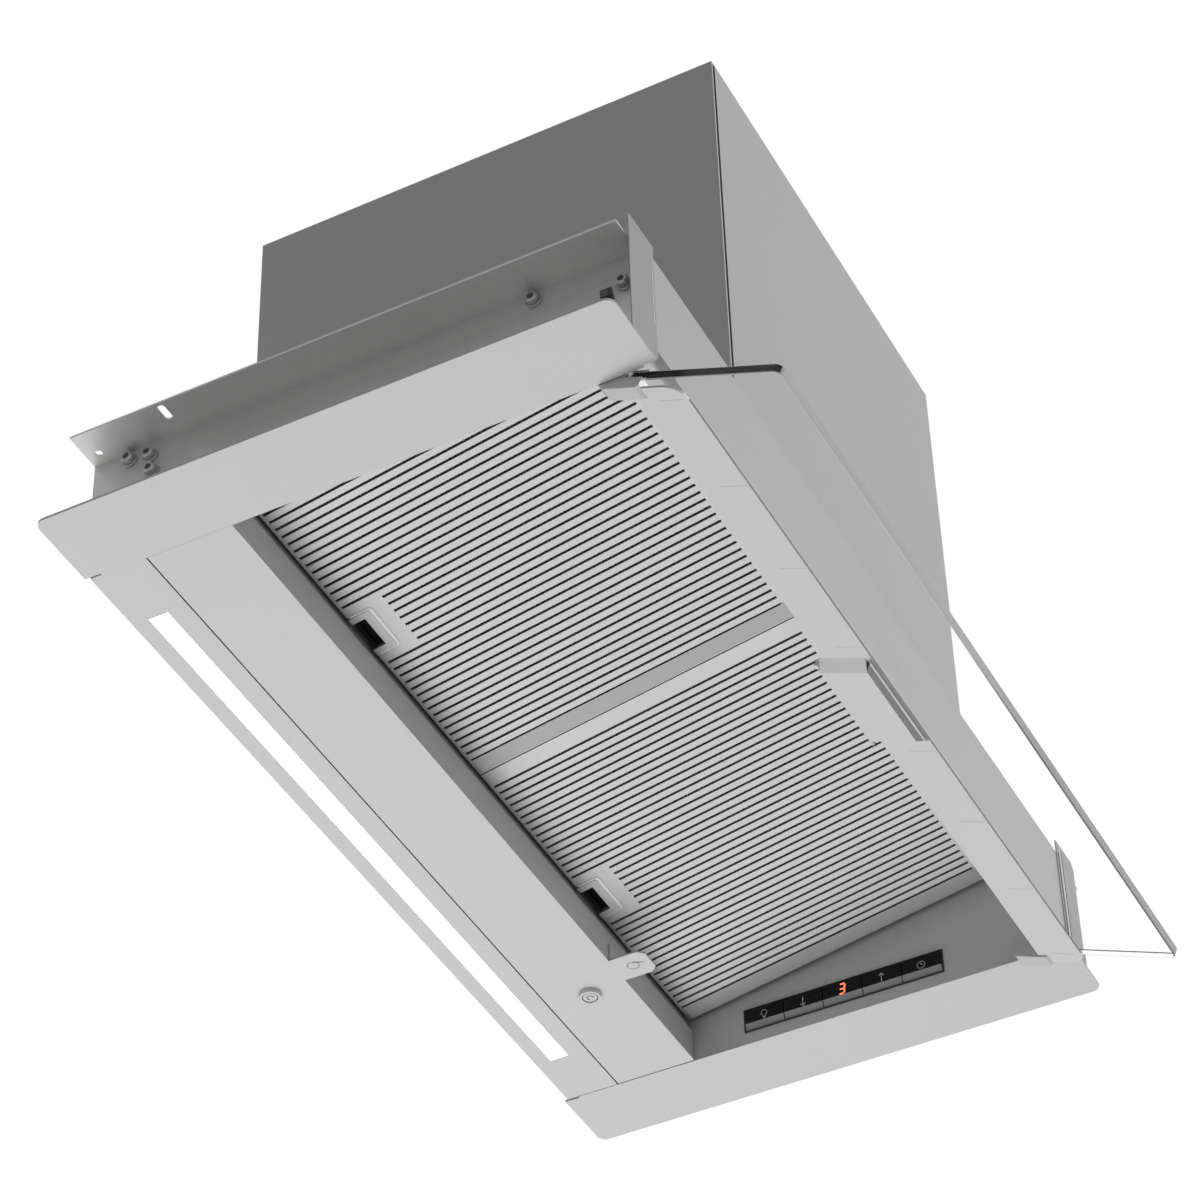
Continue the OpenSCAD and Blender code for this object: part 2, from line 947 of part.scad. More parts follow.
module outlet_collar() {
    color("whitesmoke")
    in_frame()
    translate([house_cx, collar_y, collar_z])
    difference() {
        union() {
            cylinder(h = 2, r = collar_d / 2 + 10, $fn = 96);
            cylinder(h = collar_h, r = collar_d / 2, $fn = 96);
        }
        translate([0, 0, -1])
        cylinder(h = collar_h + 2, r = collar_d / 2 - collar_wall, $fn = 96);
        translate([0, 0, flap_z - collar_z])
        rotate([90, 0, 0])
        cylinder(h = collar_d + 10, r = pin_r, center = true);
    }
}

module flap_pin() {
    color("silver")
    in_frame()
    translate([house_cx, collar_y, flap_z])
    rotate([90, 0, 0])
    cylinder(h = collar_d, r = pin_r, center = true);
}

// One half-round flap on +X; its knuckles turn on the pin at the given places
module flap_half(places) {
    translate([house_cx, collar_y, flap_z])
    difference() {
        union() {
            intersection() {
                translate([0, 0, -flap_t / 2])
                cylinder(h = flap_t, r = flap_r, $fn = 96);
                slab([3.6, -flap_r, -2], [flap_r + 1, flap_r, 2]);
            }
            for (y = places) {
                translate([0, y, 0])
                rotate([90, 0, 0])
                cylinder(h = 12, r = 3.2, center = true);
                slab([0, y - 6, -flap_t / 2], [4, y + 6, flap_t / 2]);
            }
        }
        rotate([90, 0, 0])
        cylinder(h = 200, r = pin_r + pin_fit, center = true);
    }
}

module flap_left() {
    color("dimgray")
    in_frame()
    translate([2 * house_cx, 0, 0])
    mirror([1, 0, 0])
    flap_half([-40, 13]);
}

module flap_right() {
    color("dimgray")
    in_frame()
    flap_half([-13, 40]);
}

// Blower: a scroll with one inlet, a wheel with curved blades, its shaft and motor

// Radius of the scroll at angle a past the tongue
function scroll_r(a) = scroll_r0 + scroll_grow * a / scroll_turn;

// Scroll outline grown by d, with its mouth straight up to height top above the shaft
function scroll_outline(d, top) = concat(
    [for (a = [0:10:scroll_turn])
        [(scroll_r(a) + d) * cos(tongue_a - a), (scroll_r(a) + d) * sin(tongue_a - a)]],
    [[-scroll_r(scroll_turn) - d, top], [scroll_r0 * cos(tongue_a) + d, top]]);

module scroll_shell() {
    side = scroll_wall;
    top = housing_top_z - sheet - shaft_z;
    translate([house_cx - scroll_w / 2, shaft_y, shaft_z])
    rotate([90, 0, 90])
    difference() {
        linear_extrude(scroll_w)
        polygon(scroll_outline(0, top));
        translate([0, 0, side])
        linear_extrude(scroll_w - 2 * side)
        polygon(scroll_outline(-side, top + 1));
        translate([0, 0, -1])
        cylinder(h = side + 2, r = wheel_d / 2 - 12, $fn = 64);
        translate([0, 0, scroll_w - side - 1])
        cylinder(h = side + 2, r = wheel_d / 2 - 18, $fn = 64);
    }
}

// Flange round the mouth, by which the scroll hangs from the housing top
module scroll_flange() {
    z1 = housing_top_z - sheet;
    out = collar_d / 2 + 7;
    mx = scroll_w / 2 - scroll_wall;
    my = shaft_y - collar_y - scroll_wall + scroll_r0 * cos(tongue_a);
    difference() {
        slab([house_cx - out, collar_y - out, z1 - 1.5], [house_cx + out, collar_y + out, z1]);
        slab([house_cx - mx, collar_y - my, z1 - 3], [house_cx + mx, collar_y + my, z1 + 1]);
    }
}

module blower_scroll() {
    color("slategray")
    in_frame()
    union() {
        scroll_shell();
        scroll_flange();
    }
}

module blade() {
    r1 = wheel_d / 2;
    r0 = r1 - 14;
    mid_r = (r0 + r1) / 2;
    polygon([[r0, 0], [mid_r, 2.4], [r1 - 0.6, 6.6], [r1 - 1.2, 7.2], [mid_r - 0.6, 3.4], [r0, 1]]);
}

module fan_wheel() {
    r1 = wheel_d / 2;
    color("darkslategray")
    in_frame()
    translate([house_cx - wheel_w / 2, shaft_y, shaft_z])
    rotate([90, 0, 90])
    difference() {
        union() {
            difference() {
                cylinder(h = 2, r = r1, $fn = 64);
                translate([0, 0, -1])
                cylinder(h = 4, r = r1 - 14, $fn = 64);
            }
            translate([0, 0, wheel_w / 2 - 1])
            cylinder(h = 2, r = r1 - 0.4, $fn = 64);
            translate([0, 0, wheel_w / 2 - 12])
            cylinder(h = 13, r = 10);
            translate([0, 0, wheel_w - 2])
            difference() {
                cylinder(h = 2, r = r1, $fn = 64);
                translate([0, 0, -1])
                cylinder(h = 4, r = r1 - 14, $fn = 64);
            }
            for (i = [0:blade_n - 1])
                rotate([0, 0, i * 360 / blade_n])
                translate([0, 0, 1])
                linear_extrude(wheel_w - 2)
                blade();
        }
        cylinder(h = wheel_w, r = shaft_r);
    }
}

module fan_shaft() {
    color("silver")
    in_frame()
    translate([house_cx - 14, shaft_y, shaft_z])
    rotate([0, 90, 0])
    cylinder(h = 60, r = shaft_r);
}

module fan_motor() {
    x0 = house_cx + 5;
    color("gray")
    in_frame()
    translate([x0, shaft_y, shaft_z])
    rotate([0, 90, 0])
    difference() {
        union() {
            cylinder(h = scroll_w / 2 - 5, r = motor_d / 2);
            translate([0, 0, -1.5])
            cylinder(h = 3, r = 14);
        }
        translate([0, 0, -3])
        cylinder(h = 50, r = shaft_r + pin_fit);
    }
}

module motor_plate() {
    x0 = house_cx + scroll_w / 2;
    r = wheel_d / 2 - 8;
    color("silver")
    in_frame()
    translate([x0, shaft_y, shaft_z])
    rotate([0, 90, 0])
    difference() {
        cylinder(h = sheet, r = r, $fn = 64);
        for (a = [0:60:300])
            rotate([0, 0, a])
            translate([r - 14, 0, -1])
            cylinder(h = sheet + 2, r = 4);
    }
}

module control_box() {
    x1 = housing_x[1] - sheet - 10;
    x0 = x1 - box_size[0];
    y1 = housing_y[1] - sheet;
    z0 = casing_h + 20;
    color("whitesmoke")
    in_frame()
    union() {
        slab([x0, y1 - box_size[1], z0], [x1, y1, z0 + box_size[2]]);
        slab([x0 - 4, y1 - 3, z0 + 10], [x0, y1, z0 + box_size[2] - 10]);
    }
}

trim_left();
trim_right();
casing_deck();
casing_front_wall();
casing_rear_wall();
casing_left_wall();
casing_right_wall();
recess_wall_left();
recess_wall_right();
plenum_wall();
filter_shelf();
mounting_rail_left();
mounting_rail_right();
rail_bolts();
front_panel();
front_bracket_left();
front_bracket_right();
side_clips();
light_panel();
led_diffuser();
led_channel();
led_board();
led_driver();
tray_panel();
pull_tab();
tray_lock();
filter_left();
filter_right();
filter_mesh_left();
filter_mesh_right();
latch_left();
latch_right();
key_light();
key_slower();
key_power();
key_faster();
key_timer();
control_bezel();
control_board();
visor_glass();
visor_strip();
visor_grip();
visor_ears();
visor_pins();
hinge_blocks();
housing_front();
housing_rear();
housing_left();
housing_right();
housing_top();
outlet_collar();
flap_left();
flap_right();
flap_pin();
blower_scroll();
fan_wheel();
fan_shaft();
fan_motor();
motor_plate();
control_box();
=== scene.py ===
import math

import bmesh
import bpy
from bpy.props import FloatProperty, FloatVectorProperty, IntProperty, PointerProperty
from bpy.types import Operator, Panel, PropertyGroup
from mathutils import Matrix, Vector


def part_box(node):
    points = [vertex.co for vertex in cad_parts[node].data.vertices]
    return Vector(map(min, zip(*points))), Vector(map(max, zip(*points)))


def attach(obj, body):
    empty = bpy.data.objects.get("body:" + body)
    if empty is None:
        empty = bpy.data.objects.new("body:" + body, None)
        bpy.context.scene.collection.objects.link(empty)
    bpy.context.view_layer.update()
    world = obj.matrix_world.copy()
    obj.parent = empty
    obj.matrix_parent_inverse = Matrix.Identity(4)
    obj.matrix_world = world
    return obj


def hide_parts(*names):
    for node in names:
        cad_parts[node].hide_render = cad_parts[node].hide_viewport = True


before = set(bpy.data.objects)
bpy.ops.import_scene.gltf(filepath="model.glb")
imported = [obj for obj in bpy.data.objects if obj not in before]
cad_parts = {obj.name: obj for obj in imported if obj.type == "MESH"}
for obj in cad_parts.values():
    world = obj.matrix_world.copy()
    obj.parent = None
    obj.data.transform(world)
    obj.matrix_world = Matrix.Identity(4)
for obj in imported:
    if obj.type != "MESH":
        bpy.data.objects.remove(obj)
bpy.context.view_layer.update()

bl_info = {
    "name": "Built-in Range Hood",
    "version": (1, 0, 0),
    "blender": (4, 5, 0),
    "location": "View3D > Sidebar > Range Hood",
    "description": "Dresses the packed range hood: sheet metal, filters, keys, visor, light and stage",
    "category": "Object",
}

# Underside of the trim plates and their middle front to back, in the part's own frame
TRIM_LOW, TRIM_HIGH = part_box("trim_left")
UNDERSIDE = TRIM_LOW[2]
PLAN_Y = (TRIM_LOW[1] + TRIM_HIGH[1]) / 2
# Hinge line of the visor and its slope in the stored pose
HINGE_Y = PLAN_Y - 0.137
HINGE_Z = UNDERSIDE + 0.005
VISOR_SLOPE = math.radians(22.2)
# Middle plane of the glass below the hinge line
GLASS_DROP = 0.00293
# Underside of the visor's carrier strip, measured from the middle of the glass
STRIP_LOW = -0.0078
# Rear lower edge of the filters and their slope
FILTER_Y = PLAN_Y + 0.0736
FILTER_Z = UNDERSIDE + 0.02745
FILTER_SLOPE = math.radians(10.2)
# Middle of each filter along the hood
FILTER_MID = 0.1255
# The visor's pane, in the measures that visor_point takes: its ends, long edges and faces
PANE_END = 0.25
PANE_INNER, PANE_OUTER = 0.0032, 0.0855
PANE_FACE = 0.0025
# Outer edge of the visor's carrier strip, out from the hinge
STRIP_EDGE = 0.0342
# Middle of the keys above the trim plates' underside
KEY_RISE = 0.0165

# Noise scales on each axis, for lines along the hood, lines front to back, and an even cloud
LINES_ALONG = (4, 700, 700)
LINES_BACK = (700, 4, 700)
EVEN_CLOUD = (40, 40, 40)

# Sockets of a Mix node's two colours and of its result
MIX_FIRST, MIX_SECOND, MIX_RESULT = 6, 7, 2

# Sheet of the mounting rails
RAIL_SHEET = 0.0012
# Rail bolts: back from the plan's middle, and up from the trim plates' underside
BOLT_PLACES = ((0.1266, 0.0581), (0.1146, 0.0557), (0.1130, 0.0445), (-0.0986, 0.0583), (-0.1460, 0.0460))
# Out from the rail's web and radius, for the round washer and head, then for the hexagon socket
BOLT_ROUND = ((-0.003, 0.002), (0.0, 0.002), (0.0, 0.0042), (0.0011, 0.0042), (0.0013, 0.0040),
              (0.0013, 0.0033), (0.0040, 0.0033), (0.0046, 0.0028))
BOLT_SOCKET = ((0.0046, 0.0019), (0.0022, 0.0019))
BOLT_SIDES = 24

FLOOR_Z = -3.2
FLOOR_HALF = 12
# Share of glow in the floor where it's seen, the strength of that glow, and the world's fill light
FLOOR_SHARE = 0.85
FLOOR_GLOW = 1.12
WORLD_FILL = 0.12
# Name, place, side and power
LAMPS = (
    ("under lamp", (0.3, PLAN_Y + 0.6, -1.75), 2.0, 31),
    ("front lamp", (1.0, PLAN_Y - 2.6, 0.35), 1.8, 33),
    ("top lamp", (0.3, PLAN_Y + 0.3, 2.6), 1.6, 44),
    ("rear lamp", (1.6, PLAN_Y + 2.2, 1.4), 2.2, 42))
# The camera fitted to the photograph's edges
CAMERA_PLACE = (-1.38675, PLAN_Y - 0.67390, UNDERSIDE - 1.27053)
CAMERA_RIGHT = (0.4777, -0.8785, -0.0014)
CAMERA_DOWN = (0.5771, 0.3150, -0.7535)
CAMERA_LENS = 115.87
CAMERA_SHIFT = (0.1059, 0.0550)


# Sizes and colours that a user would change

class HoodSizes(PropertyGroup):
    edge_round: FloatProperty(
        name="Edge rounding", description="Rounding of the sheet metal's cut edges",
        default=0.0003, min=0.00005, max=0.001, unit="LENGTH")
    glass_round: FloatProperty(
        name="Glass edge", description="Width of the ground arris along the glass",
        default=0.0006, min=0.0001, max=0.0015, unit="LENGTH")
    grip_round: FloatProperty(
        name="Grip rounding", description="Rounding of the visor grip's edges",
        default=0.0008, min=0.0002, max=0.002, unit="LENGTH")
    icon_line: FloatProperty(
        name="Icon line", description="Width of the lines printed on the keys",
        default=0.00042, min=0.0002, max=0.001, unit="LENGTH")
    icon_size: FloatProperty(
        name="Icon height", description="Height of the signs on the keys",
        default=0.0058, min=0.003, max=0.009, unit="LENGTH")
    bend_parts: IntProperty(
        name="Rounding steps", description="Segments across each rounded edge",
        default=2, min=1, max=6)


class HoodColours(PropertyGroup):
    satin: FloatVectorProperty(
        name="Satin steel", description="Trim plates, panels and the visor's carrier",
        subtype="COLOR", size=3, min=0, max=1, default=(0.575, 0.575, 0.575))
    casing: FloatVectorProperty(
        name="Casing steel", description="Rails and the casing's outer sheets",
        subtype="COLOR", size=3, min=0, max=1, default=(0.50, 0.497, 0.494))
    recess: FloatVectorProperty(
        name="Recess steel", description="Walls inside the recess",
        subtype="COLOR", size=3, min=0, max=1, default=(0.56, 0.572, 0.564))
    housing: FloatVectorProperty(
        name="Housing steel", description="Box round the blower",
        subtype="COLOR", size=3, min=0, max=1, default=(0.56, 0.556, 0.556))
    brackets: FloatVectorProperty(
        name="Bracket steel", description="Brackets at the front's ends",
        subtype="COLOR", size=3, min=0, max=1, default=(0.37, 0.37, 0.37))
    filters: FloatVectorProperty(
        name="Filter aluminium", description="Slotted filter cassettes",
        subtype="COLOR", size=3, min=0, max=1, default=(0.64, 0.64, 0.638))
    mesh: FloatVectorProperty(
        name="Filter mesh", description="Mesh behind the filter slots",
        subtype="COLOR", size=3, min=0, max=1, default=(0.055, 0.055, 0.057))
    plastic: FloatVectorProperty(
        name="Black plastic", description="Latches, bezel and hinge blocks",
        subtype="COLOR", size=3, min=0, max=1, default=(0.016, 0.016, 0.018))
    keys: FloatVectorProperty(
        name="Key gloss", description="Glossy faces of the keys",
        subtype="COLOR", size=3, min=0, max=1, default=(0.008, 0.008, 0.008))
    digit: FloatVectorProperty(
        name="Display figure", description="Glow of the figure on the display",
        subtype="COLOR", size=3, min=0, max=1, default=(1.0, 0.19, 0.07))
    # Painted reflection: the keys' faces that turn down take this grey for the light that they reflect from
    # below
    key_bevel_reflection: FloatVectorProperty(
        name="Key bevel", description="Bevel along the keys' lower edges",
        subtype="COLOR", size=3, min=0, max=1, default=(0.34, 0.35, 0.35))
    surround: FloatVectorProperty(
        name="Latch surround", description="Pale frames round the latch openings",
        subtype="COLOR", size=3, min=0, max=1, default=(0.86, 0.865, 0.89))
    glass: FloatVectorProperty(
        name="Glass tint", description="Tint of the visor glass",
        subtype="COLOR", size=3, min=0, max=1, default=(1.0, 1.0, 1.0))
    # Painted refraction: the glass's long edge takes this pale grey for the white that a clear edge shows
    glass_edge: FloatVectorProperty(
        name="Glass edge", description="Ground long edge of the visor glass",
        subtype="COLOR", size=3, min=0, max=1, default=(0.62, 0.62, 0.62))


# Materials

def new_material(name):
    """A material, with its nodes, its links and its main shader."""
    m = bpy.data.materials.new(name)
    m.use_nodes = True
    return m, m.node_tree.nodes, m.node_tree.links, m.node_tree.nodes["Principled BSDF"]


def object_noise(nodes, links, stretch, scale, detail=2.0):
    """Noise in the part's own frame, stretched by a scale on each axis."""
    place = nodes.new("ShaderNodeTexCoord")
    spread = nodes.new("ShaderNodeMapping")
    spread.inputs["Scale"].default_value = stretch
    noise = nodes.new("ShaderNodeTexNoise")
    noise.inputs["Scale"].default_value = scale
    noise.inputs["Detail"].default_value = detail
    links.new(place.outputs["Object"], spread.inputs["Vector"])
    links.new(spread.outputs["Vector"], noise.inputs["Vector"])
    return noise.outputs["Fac"]


def spread_value(nodes, links, value, low, high):
    """Maps a 0 to 1 value to a range."""
    n = nodes.new("ShaderNodeMapRange")
    n.inputs["To Min"].default_value = low
    n.inputs["To Max"].default_value = high
    links.new(value, n.inputs["Value"])
    return n.outputs["Result"]


def tinted(nodes, links, value, colour, depth):
    """Colour that varies by depth with a 0 to 1 value."""
    ramp = nodes.new("ShaderNodeValToRGB")
    ramp.color_ramp.elements[0].color = (*[c * (1 - depth) for c in colour], 1)
    ramp.color_ramp.elements[1].color = (*[min(1, c * (1 + depth)) for c in colour], 1)
    ramp.color_ramp.elements[0].position = 0.25
    ramp.color_ramp.elements[1].position = 0.75
    links.new(value, ramp.inputs["Fac"])
    return ramp.outputs["Color"]


def bumped(nodes, links, shader, value, strength, distance):
    """Raises a shader's surface by a 0 to 1 value."""
    bump = nodes.new("ShaderNodeBump")
    bump.inputs["Strength"].default_value = strength
    bump.inputs["Distance"].default_value = distance
    links.new(value, bump.inputs["Height"])
    links.new(bump.outputs["Normal"], shader.inputs["Normal"])


def roughened(nodes, links, shader, value, low, high):
    """Sets a shader's roughness between two limits by a 0 to 1 value."""
    links.new(spread_value(nodes, links, value, low, high), shader.inputs["Roughness"])


def painted_corner_shade(nodes, links, colour, amount, reach):
    """Darkens a colour where other faces stand close: painted shade, as ambient occlusion gives it."""
    near = nodes.new("ShaderNodeAmbientOcclusion")
    near.samples = 4
    near.inputs["Distance"].default_value = reach
    scale = nodes.new("ShaderNodeVectorMath")
    scale.operation = "SCALE"
    links.new(colour, scale.inputs[0])
    links.new(spread_value(nodes, links, near.outputs["AO"], 1 - amount, 1.0), scale.inputs["Scale"])
    return scale.outputs[0]


def blended(nodes, links, space, axis, start, end):
    """Mix node that goes from its first colour to its second between two places on an axis."""
    place = nodes.new("ShaderNodeTexCoord")
    apart = nodes.new("ShaderNodeSeparateXYZ")
    along = nodes.new("ShaderNodeMapRange")
    along.inputs["From Min"].default_value = start
    along.inputs["From Max"].default_value = end
    blend = nodes.new("ShaderNodeMix")
    blend.data_type = "RGBA"
    links.new(place.outputs[space], apart.inputs["Vector"])
    links.new(apart.outputs[axis], along.inputs["Value"])
    links.new(along.outputs["Result"], blend.inputs[0])
    return blend


def sheet_metal(name, colour, metallic, roughness, stretch=(5, 900, 900), depth=0.03, bump=0.06,
                corners=0, reach=0.012):
    """Rolled or brushed sheet: fine lines along the sheet and a faint cloudiness, with painted shade where
    other faces stand close when corners is above 0.
    """
    m, nodes, links, shader = new_material(name)
    lines = object_noise(nodes, links, stretch, 1.0)
    cloud = object_noise(nodes, links, (1, 1, 1), 9.0, 3.0)
    both = nodes.new("ShaderNodeMix")
    both.inputs[0].default_value = 0.45
    links.new(lines, both.inputs[2])
    links.new(cloud, both.inputs[3])
    shade = tinted(nodes, links, both.outputs[0], colour, depth)
    # Painted shade where other faces stand close
    if corners:
        shade = painted_corner_shade(nodes, links, shade, corners, reach)
    links.new(shade, shader.inputs["Base Color"])
    roughened(nodes, links, shader, lines, roughness - 0.05, roughness + 0.06)
    bumped(nodes, links, shader, lines, bump, 0.0002)
    shader.inputs["Metallic"].default_value = metallic
    return m


def moulded(name, colour, roughness, grain=1600, depth=0.08, bump=0.12, shine=0.5):
    """Moulded plastic with a fine even grain."""
    m, nodes, links, shader = new_material(name)
    grains = object_noise(nodes, links, (1, 1, 1), grain)
    links.new(tinted(nodes, links, grains, colour, depth), shader.inputs["Base Color"])
    roughened(nodes, links, shader, grains, roughness - 0.05, roughness + 0.05)
    bumped(nodes, links, shader, grains, bump, 0.0001)
    shader.inputs["Specular IOR Level"].default_value = shine
    return m


def glowing(name, colour, strength, grain=700):
    """Lit plastic: the glow varies a little with the diffuser's grain."""
    m, nodes, links, shader = new_material(name)
    grains = object_noise(nodes, links, (1, 1, 1), grain)
    links.new(tinted(nodes, links, grains, colour, 0.02), shader.inputs["Base Color"])
    links.new(tinted(nodes, links, grains, colour, 0.02), shader.inputs["Emission Color"])
    shader.inputs["Emission Strength"].default_value = strength
    shader.inputs["Roughness"].default_value = 0.4
    return m


def mesh_layers(name, colour):
    """Layers of expanded metal: crossed fine wires with dark between them."""
    m, nodes, links, shader = new_material(name)
    place = nodes.new("ShaderNodeTexCoord")
    turn = nodes.new("ShaderNodeMapping")
    turn.inputs["Rotation"].default_value = (0, 0, math.radians(45))
    links.new(place.outputs["Object"], turn.inputs["Vector"])
    waves = []
    for axis in ("X", "Y"):
        wave = nodes.new("ShaderNodeTexWave")
        wave.bands_direction = axis
        wave.inputs["Scale"].default_value = 140
        wave.inputs["Distortion"].default_value = 0.6
        links.new(turn.outputs["Vector"], wave.inputs["Vector"])
        waves.append(wave.outputs["Fac"])
    top = nodes.new("ShaderNodeMath")
    top.operation = "MAXIMUM"
    links.new(waves[0], top.inputs[0])
    links.new(waves[1], top.inputs[1])
    ramp = nodes.new("ShaderNodeValToRGB")
    ramp.color_ramp.elements[0].color = (*[c * 0.3 for c in colour], 1)
    ramp.color_ramp.elements[1].color = (*[c * 1.5 for c in colour], 1)
    ramp.color_ramp.elements[0].position = 0.45
    links.new(top.outputs[0], ramp.inputs["Fac"])
    links.new(ramp.outputs["Color"], shader.inputs["Base Color"])
    bumped(nodes, links, shader, top.outputs[0], 0.5, 0.0005)
    shader.inputs["Metallic"].default_value = 0.6
    shader.inputs["Roughness"].default_value = 0.45
    return m


def clear_glass(name, tint):
    """Clear coated float glass that hardly reflects; a trace of unevenness shows in its reflections."""
    m, nodes, links, shader = new_material(name)
    uneven = object_noise(nodes, links, (1, 1, 1), 6.0, 1.0)
    bumped(nodes, links, shader, uneven, 0.02, 0.0002)
    links.new(tinted(nodes, links, uneven, tint, 0.004), shader.inputs["Base Color"])
    roughened(nodes, links, shader, uneven, 0.0, 0.01)
    shader.inputs["Transmission Weight"].default_value = 1.0
    shader.inputs["IOR"].default_value = 1.12
    return m


def painted_glass_edge(name, near, far, depth=0.1):
    """Opaque glass edge with faint streaks, painted in the tone that a clear edge shows: painted reflection
    and refraction, going from near to far along the hood.
    """
    m, nodes, links, shader = new_material(name)
    streaks = object_noise(nodes, links, (9, 900, 900), 1.0, 3.0)
    shade = blended(nodes, links, "Object", "X", -0.03, 0.04)
    links.new(tinted(nodes, links, streaks, near, depth), shade.inputs[MIX_FIRST])
    links.new(tinted(nodes, links, streaks, far, depth), shade.inputs[MIX_SECOND])
    links.new(shade.outputs[MIX_RESULT], shader.inputs["Base Color"])
    roughened(nodes, links, shader, streaks, 0.12, 0.24)
    shader.inputs["Specular IOR Level"].default_value = 0.3
    return m


def key_gloss(name, colour, bevel):
    """Glossy black with the finest orange peel; faces that turn down, as the bevel does, take grey as
    painted reflection of the light below.
    """
    m, nodes, links, shader = new_material(name)
    peel = object_noise(nodes, links, (1, 1, 1), 420)
    shade = blended(nodes, links, "Normal", "Z", -0.1, -0.25)
    links.new(tinted(nodes, links, peel, colour, 0.15), shade.inputs[MIX_FIRST])
    shade.inputs[MIX_SECOND].default_value = (*bevel, 1)
    links.new(shade.outputs[MIX_RESULT], shader.inputs["Base Color"])
    roughened(nodes, links, shader, peel, 0.10, 0.16)
    bumped(nodes, links, shader, peel, 0.03, 0.0001)
    shader.inputs["Specular IOR Level"].default_value = 0.13
    return m


# Meshes

def settings():
    """The scene's sizes and colours."""
    return bpy.context.scene.hood_sizes, bpy.context.scene.hood_colours


def rounding(obj, width, parts):
    """Rounds an object's sharp edges without touching its mesh."""
    mod = obj.modifiers.new("edge rounding", "BEVEL")
    mod.width = width
    mod.segments = parts
    mod.limit_method = "ANGLE"
    mod.angle_limit = math.radians(35)
    mod.use_clamp_overlap = True
    return mod


def finish_nodes(names, material, width=None):
    """Gives CAD nodes a finish and rounds their edges."""
    sizes, _ = settings()
    for name in names:
        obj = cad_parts[name]
        if not obj.material_slots:
            obj.data.materials.append(material)
        for slot in obj.material_slots:
            slot.material = material
        if width is None or width > 0:
            rounding(obj, width or sizes.edge_round, sizes.bend_parts)


def add_piece(name, mesh_maker, material, body):
    """A new mesh piece that rides on a CAD body."""
    mesh = bpy.data.meshes.new(name)
    bm = bmesh.new()
    mesh_maker(bm)
    bmesh.ops.recalc_face_normals(bm, faces=bm.faces)
    bm.to_mesh(mesh)
    bm.free()
    obj = bpy.data.objects.new(name, mesh)
    bpy.context.scene.collection.objects.link(obj)
    mesh.materials.append(material)
    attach(obj, body)
    return obj


def skin(bm, rings):
    """Closed surface through rings of vertices, with a cap at each end."""
    bm.faces.new(rings[0])
    bm.faces.new(rings[-1])
    for a, b in zip(rings, rings[1:]):
        for i in range(len(a)):
            j = (i + 1) % len(a)
            bm.faces.new((a[i], a[j], b[j], b[i]))


def extrude_outline(bm, points, place, low, high):
    """Closed prism from an outline; place(u, v, height) gives a point."""
    skin(bm, [[bm.verts.new(place(u, v, h)) for u, v in points] for h in (low, high)])


def rectangle(u0, v0, u1, v1):
    """Outline of a rectangle between two opposite corners."""
    return [(u0, v0), (u1, v0), (u1, v1), (u0, v1)]


def arc(r, start=0, end=360, step=20, cu=0.0, cv=0.0):
    """Points on a circle, by whole degrees."""
    return [(cu + r * math.cos(math.radians(a)), cv + r * math.sin(math.radians(a)))
            for a in range(start, end + 1, step)]


def rounded_rectangle(u0, v0, u1, v1, r, parts=8):
    """Outline of a rectangle with corners of radius r, each made of so many parts."""
    points = []
    corners = ((u1 - r, v1 - r, 0), (u0 + r, v1 - r, 90), (u0 + r, v0 + r, 180), (u1 - r, v0 + r, 270))
    for cu, cv, start in corners:
        for k in range(parts + 1):
            a = math.radians(start + 90 * k / parts)
            points.append((cu + r * math.cos(a), cv + r * math.sin(a)))
    return points


def visor_point(x, out, up):
    """A point of the visor: x along it, out from the hinge and up from the glass's middle plane."""
    c, s = math.cos(VISOR_SLOPE), math.sin(VISOR_SLOPE)
    up -= GLASS_DROP
    return Vector((x, HINGE_Y - out * c - up * s, HINGE_Z - out * s + up * c))


def filter_point(x, back, up):
    """A point of a filter: x along the hood, back from its rear edge, up from its lower face."""
    c, s = math.cos(FILTER_SLOPE), math.sin(FILTER_SLOPE)
    return Vector((x, FILTER_Y - back * c + up * s, FILTER_Z + back * s + up * c))


def stroke(bm, points, width, place, low, high, closed=False):
    """A flat line of even width through 2-D points, as a thin prism for each run."""
    n = len(points)
    runs = n if closed else n - 1
    for i in range(runs):
        a, b = Vector(points[i]), Vector(points[(i + 1) % n])
        d = (b - a).normalized() * (width / 2)
        s = Vector((-d.y, d.x))
        # Each run reaches a little past its ends, so that the corners close
        e = d * 0.55
        quad = [a - e + s, a - e - s, b + e - s, b + e + s]
        extrude_outline(bm, [tuple(q) for q in quad], place, low, high)


# Pieces

class HOOD_OT_casing(Operator):
    """Give the casing's sheets, rails and recess walls their rolled steel"""
    bl_idname = "hood.casing"
    bl_label = "Casing"

    def execute(self, context):
        _, colours = settings()
        # Painted light: the rails take a copy of the casing steel made 1.6 times paler, and painted shade
        # where other faces stand close
        pale = [min(1, c * 1.6) for c in colours.casing]
        rail = sheet_metal("rail steel", pale, 0.2, 0.34, (6, 4, 6), depth=0.1, bump=0.02,
                           corners=0.25, reach=0.008)
        sheet = sheet_metal("casing steel", colours.casing, 0.25, 0.45)
        # The recess walls take painted shade where other faces stand close
        wall = sheet_metal("recess steel", colours.recess, 0.1, 0.42, (900, 5, 900), depth=0.03, bump=0.06,
                           corners=0.35, reach=0.02)
        finish_nodes(["mounting_rail_left", "mounting_rail_right"], rail)
        finish_nodes(["casing_deck", "casing_front_wall", "casing_rear_wall", "casing_left_wall",
                      "casing_right_wall", "plenum_wall", "filter_shelf", "motor_plate"], sheet)
        finish_nodes(["recess_wall_left", "recess_wall_right"], wall)
        return {"FINISHED"}


